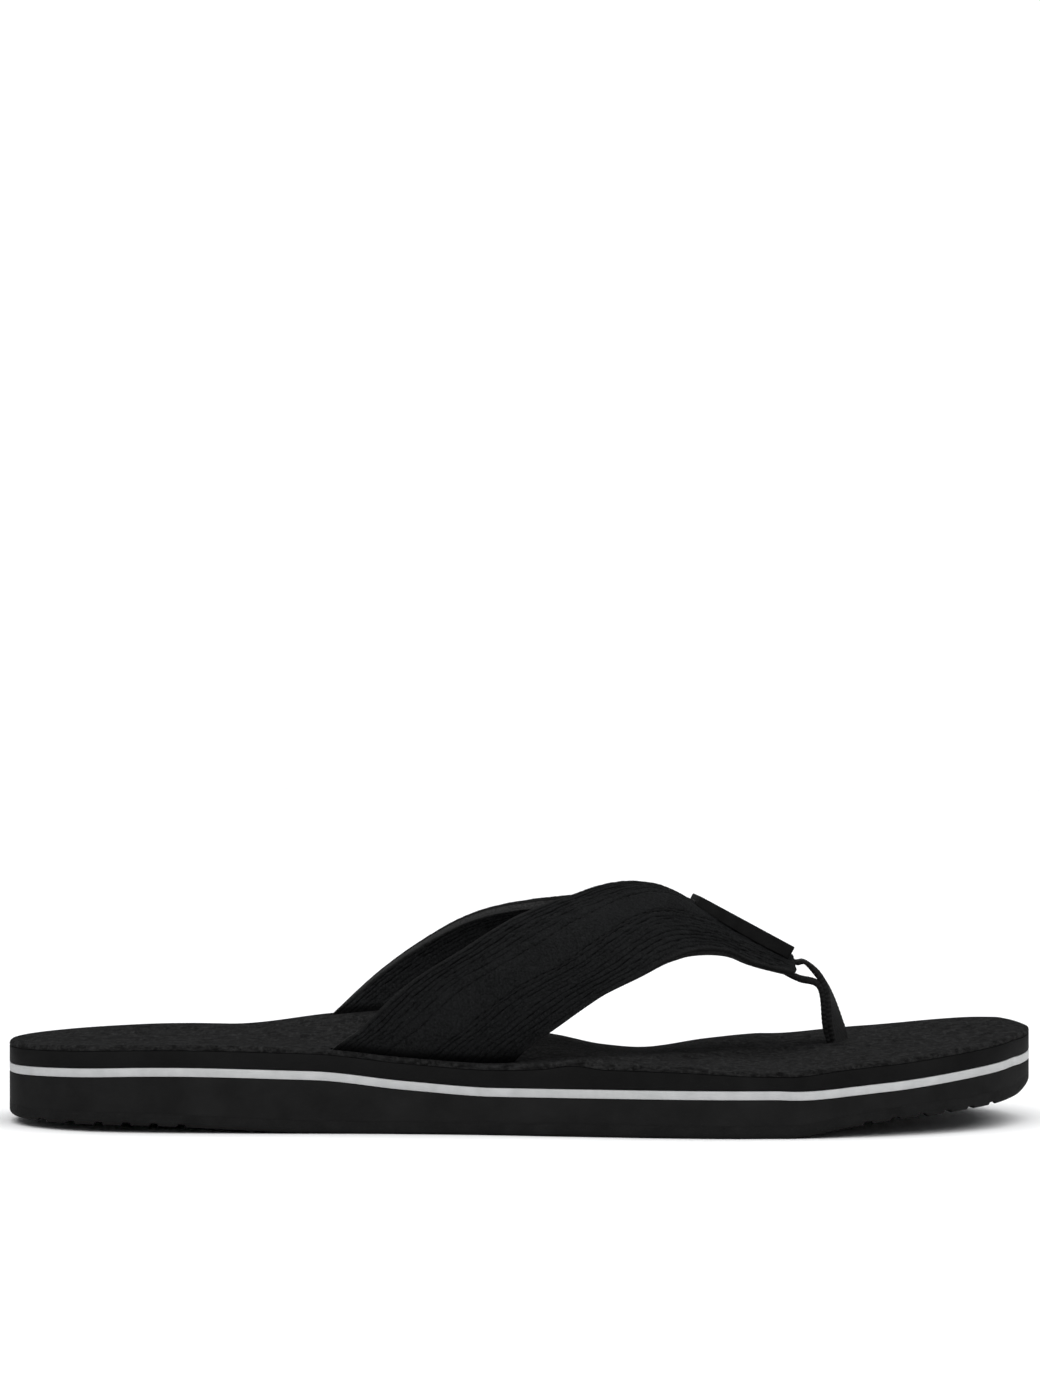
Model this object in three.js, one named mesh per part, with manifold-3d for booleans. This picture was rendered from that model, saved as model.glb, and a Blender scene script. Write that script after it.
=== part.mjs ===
// A flip flop for the right foot, in millimetres.
// +X points to the toes, +Y to the inner side of the foot (medial), +Z up.
// The origin is on the ground under the middle of the sole.
import * as THREE from 'three';
import { mergeVertices } from 'three/addons/utils/BufferGeometryUtils.js';
import Module from 'manifold-3d';

const wasm = await Module();
wasm.setup();

// ---------------------------------------------------------------- driving dimensions
const SOLE_LENGTH = 288;
const HEEL_WIDTH = 72;
const WAIST_WIDTH = 69;
const FOREFOOT_WIDTH = 103;

const HEEL_LIFT = 2; // the heel's underside stands this far off the ground
const TOE_SPRING = 10.5; // the toe end's underside stands this far off the ground
const COVER_THICKNESS = 1.5;
const FOAM_THICKNESS = 4.6;
const STRIPE_THICKNESS = 2.4;
const OUTSOLE_THICKNESS = 3.5;
const MIDSOLE_HEEL_END = 8.6;
const MIDSOLE_HEEL = 11;
const MIDSOLE_BALL = 6.9;
const MIDSOLE_TOES = 3.7;
const GLUE_LINE = 0.1; // between two bonded layers

const ARCH_RISE = 8; // footbed contour: height of the arch at the inner rim
const BALL_HOLLOW = 2.8;
const HEEL_CUP = 2;
const TOE_RISE = 1.6;
const TOE_RIDGE = 0.9;
const RIM_HUMP = 0.7;
const RIM_BEVEL = 0.7;

const OUTSOLE_EDGE = 1.6; // rounding of the outsole's lower edge
const GROOVE_PITCH = 7.5; // tread
const GROOVE_WIDTH = 2.4;
const GROOVE_DEPTH = 1;
const GROOVE_WAVE = 2.4;
const TREAD_SHARE = 0.95; // share of the length that carries the grooves
const TREAD_OPEN_FROM = 0.31; // beyond this share from the middle the grooves run out at the rim
const TREAD_BORDER = 4; // plain border between the other grooves and the rim

const STRAP_RISE = 36.5; // foot space above the straps' widest line
const STRAP_WIDEST_ABOVE_FOOTBED = 7.4;
const STRAP_LEVEL_SHARE = -0.1; // share of the length where the footbed's level is taken for that
const INSTEP_WIDTH = 62; // between the two straps at their widest line
const LINING_THICKNESS = 0.5;
const PADDING_THICKNESS = 1.5;
const UPPER_THICKNESS = 1.1;
const STRAP_OVERLAP_GAP = 0.55; // between the inner arm and the outer arm lying on it
const SLOT_CLEARANCE = 0.35;
const POCKET_CLEARANCE = 0.9;
const BEND_RADIUS = 1.5; // inside radius where a strap folds into its pocket
const TAB_LENGTH = 12; // folded in under the stripe layer
const TAB_GAP = 0.3; // between the tab and the stripe layer
const SLANT_DEPTH = 14; // a strap's slant below its widest line fades out over this depth
const SKIVE_FROM_SHARE = 0.153; // the padding thins out between these shares of the length
const SKIVE_TO_SHARE = 0.24;
const PADDING_END = 0.76; // share of an arm's run that is padded
const CLIMB_START = 4; // the outer arm climbs onto the inner one between these distances
const CLIMB_END = 20; // outside the inner arm's back edge
const SLOT_TUCK = 2.8; // each strap enters the footbed this far inside its widest line

const WEBBING_WIDTH = 8; // toe post
const WEBBING_THICKNESS = 1.1;
const WEBBING_TWIST = 30; // degrees between the strap tip and the footbed
const PLY_GAP = 0.4;
const PLIES_STRAIGHT_TO = 0.78; // share of the post's length down which the plies run straight
const PLIES_PART_ABOVE = 2.4; // the plies part this far above the anchor's plate
const SLOT_START = 0.42; // share of the post's length, above the footbed, where its slot begins
const WEBBING_CLEARANCE = 0.3;
const POST_FORWARD = 6.8; // the plies meet this far in front of the strap tip
const POST_DROP = 2.6; // and this far below it
const ANCHOR_DIAMETER = 14;
const ANCHOR_THICKNESS = 1.6;
const ANCHOR_BAR = 2.4;
const ANCHOR_X = 0.328; // share of the sole's length in front of its middle
const ANCHOR_Y = 14.5;

const BADGE_X = 0.2185; // share of the sole's length in front of its middle
const BADGE_LENGTH = 30.5;
const BADGE_WIDTH = 20;
const BADGE_THICKNESS = 1.7;
const BADGE_EDGE = 0.4;
const BADGE_GAP = 0.3;
const BADGE_SKIRT = 2.2; // the sides reach this far below the plate's flat level, down to the strap
const RIVET_DIAMETER = 3.2;
const RIVET_HEAD_DIAMETER = 5.4;
const RIVET_HEAD_THICKNESS = 0.8;
const RIVET_SOCKET_DEPTH = 0.9;
const RIVET_SPACING = 12;
const RIVET_CLEARANCE = 0.3;
const WASHER_DIAMETER = 8;
const WASHER_THICKNESS = 0.8;
const WASHER_GAP = 0.35;

const THREAD_DIAMETER = 0.7;
const THREAD_GAP = 0.25; // the stitching lies this far off the facets of the upper

// ---------------------------------------------------------------- small helpers
const radians = THREE.MathUtils.degToRad;
const UP = new THREE.Vector3(0, 0, 1);

const vec = (x, y, z) => new THREE.Vector3(x, y, z);

const smooth = (value, from, to) => THREE.MathUtils.smoothstep(value, from, to);

const alongSole = (share) => share * SOLE_LENGTH;

// A smooth height along the sole through [share of length, height] points, with no overshoot.
function profile(points) {
  const last = points.length - 1;
  const slope = (i) => (points[i + 1][1] - points[i][1]) / (points[i + 1][0] - points[i][0]);
  const tangent = (i) => {
    if (i === 0) return slope(0);
    if (i === last) return slope(last - 1);
    const before = slope(i - 1);
    const after = slope(i);
    return before * after <= 0 ? 0 : (2 * before * after) / (before + after);
  };
  return (x) => {
    const share = x / SOLE_LENGTH;
    if (share <= points[0][0]) return points[0][1];
    if (share >= points[last][0]) return points[last][1];
    let i = 0;
    while (share > points[i + 1][0]) i += 1;
    const width = points[i + 1][0] - points[i][0];
    const t = (share - points[i][0]) / width;
    const curve = points[i][1] * (2 * t ** 3 - 3 * t ** 2 + 1) + points[i + 1][1] * (3 * t ** 2 - 2 * t ** 3);
    return curve + width * (tangent(i) * (t ** 3 - 2 * t ** 2 + t) + tangent(i + 1) * (t ** 3 - t ** 2));
  };
}

// Collects triangles and turns them into one closed geometry.
class Soup {
  constructor() {
    this.positions = [];
  }

  triangle(a, b, c) {
    if (a.distanceTo(b) < 1e-3 || b.distanceTo(c) < 1e-3 || c.distanceTo(a) < 1e-3) return;
    for (const point of [a, b, c]) this.positions.push(point.x, point.y, point.z);
  }

  quad(a, b, c, d) {
    this.triangle(a, b, c);
    this.triangle(a, c, d);
  }

  geometry() {
    const geometry = new THREE.BufferGeometry();
    geometry.setAttribute('position', new THREE.Float32BufferAttribute(this.positions, 3));
    return outward(mergeVertices(geometry, 2e-3));
  }
}

// Flips every triangle where a closed geometry faces inward.
function outward(geometry) {
  const position = geometry.attributes.position;
  const index = Array.from(geometry.index.array);
  const corner = (i) => new THREE.Vector3().fromBufferAttribute(position, index[i]);
  let volume = 0;
  for (let i = 0; i < index.length; i += 3) {
    volume += corner(i).dot(corner(i + 1).cross(corner(i + 2)));
  }
  if (volume < 0) {
    for (let i = 0; i < index.length; i += 3) [index[i], index[i + 1]] = [index[i + 1], index[i]];
    geometry.setIndex(index);
  }
  return geometry;
}

// A closed solid whose surface is a grid of rows, each row a list of [lower, upper] point pairs.
function gridSolid(rows) {
  const soup = new Soup();
  const lastRow = rows.length - 1;
  const lastColumn = rows[0].length - 1;
  for (let i = 0; i < lastRow; i += 1) {
    for (let j = 0; j < lastColumn; j += 1) {
      const [a, b, c, d] = [rows[i][j], rows[i][j + 1], rows[i + 1][j + 1], rows[i + 1][j]];
      soup.quad(a[1], d[1], c[1], b[1]);
      soup.quad(a[0], b[0], c[0], d[0]);
    }
    soup.quad(rows[i][0][0], rows[i + 1][0][0], rows[i + 1][0][1], rows[i][0][1]);
    const [near, far] = [rows[i][lastColumn], rows[i + 1][lastColumn]];
    soup.quad(near[0], near[1], far[1], far[0]);
  }
  for (let j = 0; j < lastColumn; j += 1) {
    soup.quad(rows[0][j][0], rows[0][j][1], rows[0][j + 1][1], rows[0][j + 1][0]);
    const [a, b] = [rows[lastRow][j], rows[lastRow][j + 1]];
    soup.quad(a[0], b[0], b[1], a[1]);
  }
  return soup.geometry();
}

// A closed solid through rings of four corners.
function loft(rings) {
  const soup = new Soup();
  for (let i = 0; i < rings.length - 1; i += 1) {
    for (let j = 0; j < 4; j += 1) {
      const k = (j + 1) % 4;
      soup.quad(rings[i][j], rings[i][k], rings[i + 1][k], rings[i + 1][j]);
    }
  }
  soup.quad(...[...rings[0]].reverse());
  soup.quad(...rings[rings.length - 1]);
  return soup.geometry();
}

function toSolid(geometry) {
  const bare = new THREE.BufferGeometry();
  bare.setAttribute('position', geometry.attributes.position.clone());
  if (geometry.index) bare.setIndex(geometry.index.clone());
  const merged = mergeVertices(bare, 1e-4);
  return new wasm.Manifold(new wasm.Mesh({
    numProp: 3,
    vertProperties: new Float32Array(merged.attributes.position.array),
    triVerts: new Uint32Array(merged.index.array),
  }));
}

function fromSolid(solid) {
  const mesh = solid.getMesh();
  const geometry = new THREE.BufferGeometry();
  geometry.setAttribute('position', new THREE.BufferAttribute(new Float32Array(mesh.vertProperties), 3));
  geometry.setIndex(new THREE.BufferAttribute(new Uint32Array(mesh.triVerts), 1));
  return geometry;
}

function cut(geometry, cutters) {
  let solid = toSolid(geometry);
  for (const cutter of cutters) solid = solid.subtract(cutter);
  return fromSolid(solid);
}

function material(color, roughness, metalness = 0) {
  return new THREE.MeshStandardMaterial({ color, roughness, metalness });
}

const flipFlop = new THREE.Group();

function place(name, geometry, look) {
  const mesh = new THREE.Mesh(geometry, look);
  mesh.name = name;
  flipFlop.add(mesh);
  return mesh;
}

const looks = {
  cover: material(0x2b2b2d, 0.95),
  foam: material(0x19191a, 0.8),
  stripe: material(0xc8cbcd, 0.75),
  rubber: material(0x161617, 0.85),
  upper: material(0x1b1b1d, 0.9),
  padding: material(0x2a2a2b, 0.95),
  lining: material(0x242426, 0.95),
  webbing: material(0x101011, 0.9),
  anchor: material(0x1a1a1c, 0.5),
  badge: material(0x141416, 0.4),
  metal: material(0x8b8d90, 0.35, 1),
  thread: material(0x202022, 0.8),
};

// ---------------------------------------------------------------- plan outline of the sole
// Each row: share of the length from the middle, the width it belongs to, and the shares of
// that width on the outer (lateral) and the inner (medial) side of the centre line.
const OUTLINE = [
  [-0.483, HEEL_WIDTH, 0.25, 0.222],
  [-0.431, HEEL_WIDTH, 0.43, 0.403],
  [-0.361, HEEL_WIDTH, 0.507, 0.472],
  [-0.257, HEEL_WIDTH, 0.528, 0.458],
  [-0.153, WAIST_WIDTH, 0.558, 0.435],
  [-0.049, WAIST_WIDTH, 0.594, 0.449],
  [0.056, FOREFOOT_WIDTH, 0.447, 0.369],
  [0.16, FOREFOOT_WIDTH, 0.49, 0.456],
  [0.229, FOREFOOT_WIDTH, 0.495, 0.495],
  [0.299, FOREFOOT_WIDTH, 0.476, 0.504],
  [0.368, FOREFOOT_WIDTH, 0.417, 0.471],
  [0.431, FOREFOOT_WIDTH, 0.32, 0.398],
  [0.472, FOREFOOT_WIDTH, 0.194, 0.272],
];
const TOE_TIP_SHARE = 0.03; // the toe tip lies this share of the forefoot width inward

const HALF_OUTLINE = OUTLINE.length + 1;
const outline = new THREE.CatmullRomCurve3([
  vec(alongSole(-0.5), 0, 0),
  ...OUTLINE.map(([share, width, lateral]) => vec(alongSole(share), -lateral * width, 0)),
  vec(alongSole(0.5), TOE_TIP_SHARE * FOREFOOT_WIDTH, 0),
  ...OUTLINE.map(([share, width, , medial]) => vec(alongSole(share), medial * width, 0)).reverse(),
], true, 'catmullrom', 0.5);

// A point of the outline; station runs from 0 at the heel to HALF_OUTLINE at the toes.
function rim(station, side, inset = 0) {
  const turn = station / (2 * HALF_OUTLINE);
  const atTip = station === 0 || station === HALF_OUTLINE;
  const at = side < 0 || atTip ? turn : 1 - turn;
  const point = outline.getPoint(at);
  const ahead = outline.getPoint((at + 1e-4) % 1);
  const behind = outline.getPoint((at + 1 - 1e-4) % 1);
  const inward = ahead.sub(behind).normalize().cross(UP).negate();
  return point.addScaledVector(inward, inset);
}

const STATIONS = [];
for (let station = 0; station < HALF_OUTLINE;) {
  STATIONS.push(station);
  const nearEnd = station < 2 || station >= HALF_OUTLINE - 2;
  station += nearEnd ? 0.25 : 0.5;
}
STATIONS.push(HALF_OUTLINE);

// ---------------------------------------------------------------- heights of the layers
const groundClearance = profile([
  [-0.5, HEEL_LIFT],
  [-0.38, HEEL_LIFT],
  [-0.17, 0],
  [0.25, 0],
  [0.313, 0.27 * TOE_SPRING],
  [0.347, 0.4 * TOE_SPRING],
  [0.434, 0.6 * TOE_SPRING],
  [0.48, 0.75 * TOE_SPRING],
  [0.5, TOE_SPRING],
]);

const midsoleThickness = profile([
  [-0.5, MIDSOLE_HEEL_END],
  [-0.43, 0.33 * MIDSOLE_HEEL + 0.65 * MIDSOLE_HEEL_END],
  [-0.2, MIDSOLE_HEEL],
  [-0.11, 0.4 * MIDSOLE_HEEL + 0.6 * MIDSOLE_BALL],
  [-0.02, MIDSOLE_BALL],
  [0.24, MIDSOLE_BALL],
  [0.31, 0.4 * MIDSOLE_BALL + 0.6 * MIDSOLE_TOES],
  [0.36, 1.17 * MIDSOLE_TOES],
  [0.43, 1.35 * MIDSOLE_TOES],
  [0.475, 1.42 * MIDSOLE_TOES],
  [0.5, 0.85 * MIDSOLE_TOES],
]);

const outsoleBottom = (x) => groundClearance(x);
const outsoleTop = (x) => outsoleBottom(x) + OUTSOLE_THICKNESS;
const midsoleBottom = (x) => outsoleTop(x) + GLUE_LINE;
const midsoleTop = (x) => midsoleBottom(x) + midsoleThickness(x);
const stripeBottom = (x) => midsoleTop(x) + GLUE_LINE;
const stripeTop = (x) => stripeBottom(x) + STRIPE_THICKNESS;
const foamBottom = (x) => stripeTop(x) + GLUE_LINE;

const lateralRim = profile([
  [-0.5, 0],
  [-0.03, 0],
  [0.05, RIM_HUMP],
  [0.15, 0.2 * RIM_HUMP],
  [0.24, -0.35 * BALL_HOLLOW],
  [0.3, 0],
]);

const medialRim = profile([
  [-0.4, 0],
  [-0.295, 0],
  [-0.194, 0.49 * ARCH_RISE],
  [-0.104, ARCH_RISE],
  [0.035, 0.2 * ARCH_RISE],
  [0.085, -0.6 * BALL_HOLLOW],
  [0.125, -BALL_HOLLOW],
  [0.19, -0.25 * BALL_HOLLOW],
  [0.25, 0.4 * TOE_RISE],
  [0.45, TOE_RISE],
]);

const heelCup = profile([[-0.47, 0], [-0.35, HEEL_CUP], [-0.2, 0]]);

// The ridge under the toes runs forward from the outer rim to the toe post.
function toeRidge(x, across) {
  const ridgeX = alongSole(0.05 + 0.33 * across);
  return TOE_RIDGE * (1 - smooth(Math.abs(x - ridgeX), 0, 9)) * (1 - smooth(across, 0.6, 0.8));
}

// The footbed's height above the level of the flat layers; across is 0 at the outer rim.
function contour(x, across) {
  const inner = smooth(across, 0.25, 1);
  const bowl = 1 - (2 * across - 1) ** 2;
  return lateralRim(x) * (1 - inner) + medialRim(x) * inner - heelCup(x) * bowl + toeRidge(x, across);
}

const foamTop = (x, across) => foamBottom(x) + FOAM_THICKNESS + contour(x, across);
const coverBottom = (x, across) => foamTop(x, across) + GLUE_LINE;
const coverTop = (x, across) => coverBottom(x, across) + COVER_THICKNESS;

// ---------------------------------------------------------------- sole layers
const EDGE_COLUMNS = [0, 1];
const CONTOUR_COLUMNS = [0, 0.04, 0.13, 0.27, 0.42, 0.58, 0.73, 0.87, 0.96, 1];

// A layer of the sole. Levels go from its underside to its top, each with the height at a
// point and how far the rim is drawn in there.
function layer(levels, columns) {
  const soup = new Soup();
  const point = (level, station, across) => {
    const outer = rim(station, -1, level.inset);
    const inner = rim(station, 1, level.inset);
    const flat = outer.lerp(inner, across);
    const atTip = station === 0 || station === HALF_OUTLINE;
    return vec(flat.x, flat.y, level.height(flat.x, atTip ? 0.5 : across));
  };
  const face = (level, upward) => {
    for (let i = 0; i < STATIONS.length - 1; i += 1) {
      for (let j = 0; j < columns.length - 1; j += 1) {
        const [a, b, c, d] = [[0, 0], [1, 0], [1, 1], [0, 1]].map(([di, dj]) => (
          point(level, STATIONS[i + di], columns[j + dj])));
        if (upward) soup.quad(a, b, c, d);
        else soup.quad(a, d, c, b);
      }
    }
  };
  face(levels[0], false);
  face(levels[levels.length - 1], true);
  for (let k = 0; k < levels.length - 1; k += 1) {
    for (let i = 0; i < STATIONS.length - 1; i += 1) {
      for (const across of EDGE_COLUMNS) {
        const wall = [
          point(levels[k], STATIONS[i], across),
          point(levels[k], STATIONS[i + 1], across),
          point(levels[k + 1], STATIONS[i + 1], across),
          point(levels[k + 1], STATIONS[i], across),
        ];
        if (across === 0) soup.quad(...wall);
        else soup.quad(...wall.reverse());
      }
    }
  }
  return soup.geometry();
}

const level = (height, inset = 0) => ({ height, inset });

const outsoleBlank = layer([
  level(outsoleBottom, OUTSOLE_EDGE),
  level((x) => outsoleBottom(x) + 0.3 * OUTSOLE_EDGE, 0.3 * OUTSOLE_EDGE),
  level((x) => outsoleBottom(x) + OUTSOLE_EDGE),
  level(outsoleTop),
], EDGE_COLUMNS);

// ---------------------------------------------------------------- tread grooves
// Where a groove ends on one side of the sole.
function grooveEnd(x, side) {
  if (Math.abs(x) > alongSole(TREAD_OPEN_FROM)) return side * 0.6 * FOREFOOT_WIDTH;
  const border = STATIONS.map((station) => rim(station, side));
  border.sort((a, b) => Math.abs(a.x - x) - Math.abs(b.x - x));
  return border[0].y - side * TREAD_BORDER;
}

function groove(x) {
  const [outer, inner] = [grooveEnd(x, -1), grooveEnd(x, 1)];
  const bends = 6;
  const front = [];
  const back = [];
  for (let i = 0; i <= bends; i += 1) {
    const y = outer + ((inner - outer) * i) / bends;
    const middle = x + (i % 2 === 0 ? GROOVE_WAVE : -GROOVE_WAVE) / 2;
    front.push(new THREE.Vector2(middle + GROOVE_WIDTH / 2, y));
    back.push(new THREE.Vector2(middle - GROOVE_WIDTH / 2, y));
  }
  const shape = new THREE.Shape([...front, ...back.reverse()]);
  const bar = new THREE.ExtrudeGeometry(shape, { depth: 1, bevelEnabled: false });
  const position = bar.attributes.position;
  for (let i = 0; i < position.count; i += 1) {
    const roof = outsoleBottom(position.getX(i)) + GROOVE_DEPTH;
    position.setZ(i, position.getZ(i) > 0.5 ? roof : -GROOVE_DEPTH);
  }
  return toSolid(bar);
}

const GROOVE_COUNT = Math.floor((TREAD_SHARE * SOLE_LENGTH) / GROOVE_PITCH);
const grooves = [];
for (let i = 0; i < GROOVE_COUNT; i += 1) {
  grooves.push(groove((i - (GROOVE_COUNT - 1) / 2) * GROOVE_PITCH));
}

// ---------------------------------------------------------------- the form the straps lie on
// A cross-section of the foot space is half an ellipse: angle 0 is its crest, -90 its outer
// side and 90 its inner side. The straps' surfaces are offsets from it.
const footbedLevel = foamBottom(alongSole(STRAP_LEVEL_SHARE)) + FOAM_THICKNESS + COVER_THICKNESS;
const widestLine = footbedLevel + STRAP_WIDEST_ABOVE_FOOTBED;
const formCentre = profile([[-0.21, -5.5], [0, -5], [0.1, 2], [0.2, 11], [0.28, 14.5]]);
const formHalfWidth = profile([
  [-0.21, 0.48 * INSTEP_WIDTH],
  [0, 0.5 * INSTEP_WIDTH],
  [0.14, 0.5 * INSTEP_WIDTH],
  [0.21, 0.46 * INSTEP_WIDTH],
  [0.29, 0.37 * INSTEP_WIDTH],
]);
const formCrest = profile([
  [-0.21, STRAP_RISE],
  [-0.07, STRAP_RISE],
  [0.035, 0.932 * STRAP_RISE],
  [0.122, 0.872 * STRAP_RISE],
  [0.174, 0.684 * STRAP_RISE],
  [0.226, 0.53 * STRAP_RISE],
  [0.278, 0.318 * STRAP_RISE],
  [0.3, 0.22 * STRAP_RISE],
]);

function onForm(x, angle) {
  return vec(
    x,
    formCentre(x) + formHalfWidth(x) * Math.sin(angle),
    widestLine + formCrest(x) * Math.cos(angle),
  );
}

function formNormal(x, angle) {
  const along = onForm(x + 0.5, angle).sub(onForm(x - 0.5, angle));
  const round = onForm(x, angle + 0.01).sub(onForm(x, angle - 0.01));
  return along.cross(round).normalize();
}

const offForm = (x, angle, offset) => onForm(x, angle).addScaledVector(formNormal(x, angle), offset);

// ---------------------------------------------------------------- strap arms
// The padding thins out towards the tip, where the two arms are sewn on each other.
const SKIVE_FROM = alongSole(SKIVE_FROM_SHARE);
const SKIVE_TO = alongSole(SKIVE_TO_SHARE);
const paddingAt = (x) => PADDING_THICKNESS * (1 - smooth(x, SKIVE_FROM, SKIVE_TO));
const liningTop = () => LINING_THICKNESS;
const paddingBottom = () => LINING_THICKNESS + GLUE_LINE;
const paddingTop = (x) => paddingBottom() + paddingAt(x);
const upperBottom = (x) => paddingTop(x) + GLUE_LINE;
const upperTop = (x) => upperBottom(x) + UPPER_THICKNESS;

const edgeCurve = (points) => new THREE.CatmullRomCurve3(
  points.map(([share, degrees]) => vec(alongSole(share), radians(degrees), 0)), false, 'catmullrom', 0.5);

// Each edge runs from the widest line beside the foot to the tip: [share of length, degrees].
const lateralArm = {
  side: -1,
  rake: 1.6,
  back: edgeCurve([
    [-0.155, -90], [-0.108, -71], [-0.052, -54], [0.007, -31], [0.059, -10], [0.111, -2],
    [0.167, 9], [0.218, 11], [0.2635, 12],
  ]),
  front: edgeCurve([
    [0.028, -90], [0.072, -76], [0.119, -63.5], [0.146, -53], [0.17, -43], [0.198, -39.5],
    [0.222, -42], [0.243, -41.5], [0.2635, -39],
  ]),
};
const medialArm = {
  side: 1,
  rake: 0.9,
  back: edgeCurve([
    [-0.186, 90], [-0.142, 72.5], [-0.094, 56], [-0.042, 40], [0.014, 26.5], [0.08, 12],
    [0.145, -5], [0.21, -16], [0.27, -19],
  ]),
  front: edgeCurve([
    [-0.035, 90], [0.014, 82], [0.063, 71], [0.108, 58.5], [0.149, 45], [0.188, 33.5],
    [0.218, 29], [0.245, 27], [0.27, 25.5],
  ]),
};

// Angle of the inner arm's back edge where the sole is at x.
function medialBackAngle(x) {
  let low = 0;
  let high = 1;
  for (let i = 0; i < 24; i += 1) {
    const middle = (low + high) / 2;
    if (medialArm.back.getPoint(middle).x < x) low = middle;
    else high = middle;
  }
  return medialArm.back.getPoint(low).y;
}

// How far the outer arm stands off the form where it lies on the inner one.
function lift(arm, x, angle) {
  if (arm === medialArm) return 0;
  const outside = (medialBackAngle(x) - angle) * formHalfWidth(x);
  return (upperTop(x) + STRAP_OVERLAP_GAP) * (1 - smooth(outside, CLIMB_START, CLIMB_END));
}

// Distance that a strap slants towards the heel as it drops below the widest line.
const slant = (arm, drop) => arm.rake * SLANT_DEPTH * (1 - Math.exp(-drop / SLANT_DEPTH));

// The top of the folded-in tab, just under the stripe layer.
const tabTop = (x) => midsoleTop(x) - TAB_GAP;

// A point of a strap. station 0 to 1 runs up the arm to its tip, 0 to -1 drops into the sole,
// -1 to -2 is the fold and -2 to -3 the tab. across is 0 at the back edge, 1 at the front one.
function strapPoint(arm, station, across, offset) {
  const along = Math.max(station, 0);
  const start = arm.back.getPoint(along).lerp(arm.front.getPoint(along), across);
  if (station >= 0) {
    return offForm(start.x, start.y, offset(start.x) + lift(arm, start.x, start.y));
  }
  const outwards = formNormal(start.x, radians(90 * arm.side));
  const base = onForm(start.x, radians(90 * arm.side));
  const roughDrop = widestLine - tabTop(start.x) - BEND_RADIUS;
  const drop = widestLine - tabTop(start.x - slant(arm, roughDrop)) - BEND_RADIUS;
  const down = Math.min(-station, 1) * drop;
  const inner = base.clone();
  inner.x -= slant(arm, down);
  inner.y -= arm.side * SLOT_TUCK * smooth(down, 0, 0.75 * drop);
  inner.z -= down;
  if (station >= -1) return inner.addScaledVector(outwards, offset(start.x));
  const fold = THREE.MathUtils.clamp(-station - 1, 0, 1) * (Math.PI / 2);
  const tab = Math.max(-station - 2, 0) * TAB_LENGTH;
  const radius = BEND_RADIUS + offset(start.x);
  return inner
    .addScaledVector(outwards, -BEND_RADIUS - tab + radius * Math.cos(fold))
    .addScaledVector(UP, -radius * Math.sin(fold));
}

const range = (from, to, steps) => (
  Array.from({ length: steps + 1 }, (_, i) => from + ((to - from) * i) / steps));

function strapLayer(arm, bottom, top, stations, from = 0, to = 1) {
  const columns = range(from, to, 6);
  return gridSolid(stations.map((station) => columns.map((across) => (
    [strapPoint(arm, station, across, bottom), strapPoint(arm, station, across, top)]))));
}

const ROOT_STATIONS = [-3, -2, -1.75, -1.5, -1.25, -1, -0.66, -0.33];
const ARM_STATIONS = range(0, 1, 22);
const paddingStations = [-0.66, -0.33, ...ARM_STATIONS.filter((station) => station < PADDING_END)];

// The slot, fold and pocket cut into the sole for a strap. The midsole's pocket is open at the
// top, so its cutter has a larger inner clearance.
function strapCutter(arm, innerClearance) {
  const inside = () => -innerClearance;
  const outside = (x) => upperTop(x) + SLOT_CLEARANCE;
  const stations = [-3.04, ...ROOT_STATIONS.slice(1), 0, 0.04, 0.08];
  return toSolid(strapLayer(arm, inside, outside, stations, -0.012, 1.012));
}

// ---------------------------------------------------------------- badge and its rivets
const badgeX = alongSole(BADGE_X);
const badgeY = 0.85 * formCentre(badgeX);
const stackTop = (x) => upperTop(x) * 2 + STRAP_OVERLAP_GAP;

const badgeHalf = BADGE_LENGTH / 2;
const highest = (x) => offForm(x, 0, stackTop(x));
const badgeRear = highest(badgeX - 0.85 * badgeHalf);
const badgeFront = highest(badgeX + 0.85 * badgeHalf);
const badgePitch = Math.atan2(badgeRear.z - badgeFront.z, badgeFront.x - badgeRear.x);
const badgeSideways = formCentre(badgeFront.x) - formCentre(badgeRear.x);
const badgeYaw = 0.5 * Math.atan2(badgeSideways, badgeFront.x - badgeRear.x);
const badgeUp = vec(Math.sin(badgePitch), 0, Math.cos(badgePitch));
const badgeAhead = vec(Math.cos(badgePitch), 0, -Math.sin(badgePitch));
const badgeSeat = highest(badgeX);
let badgeReach = -Infinity;
for (let x = badgeX - badgeHalf; x <= badgeX + badgeHalf; x += 0.5) {
  const surface = highest(x);
  const along = surface.clone().sub(badgeSeat).dot(badgeAhead) + (badgeSeat.x - badgeX) / badgeAhead.x;
  const isUnderBadge = Math.abs(along) <= badgeHalf;
  if (isUnderBadge) badgeReach = Math.max(badgeReach, surface.dot(badgeUp));
}
const badgeOrigin = vec(badgeX, badgeY, 0);
badgeOrigin.z = (badgeReach + BADGE_GAP - badgeOrigin.x * badgeUp.x) / badgeUp.z;

const badge = new THREE.Group();
badge.position.copy(badgeOrigin);
badge.rotation.set(0, badgePitch, badgeYaw, 'ZYX');
badge.updateMatrixWorld(true);
flipFlop.add(badge);

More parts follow.
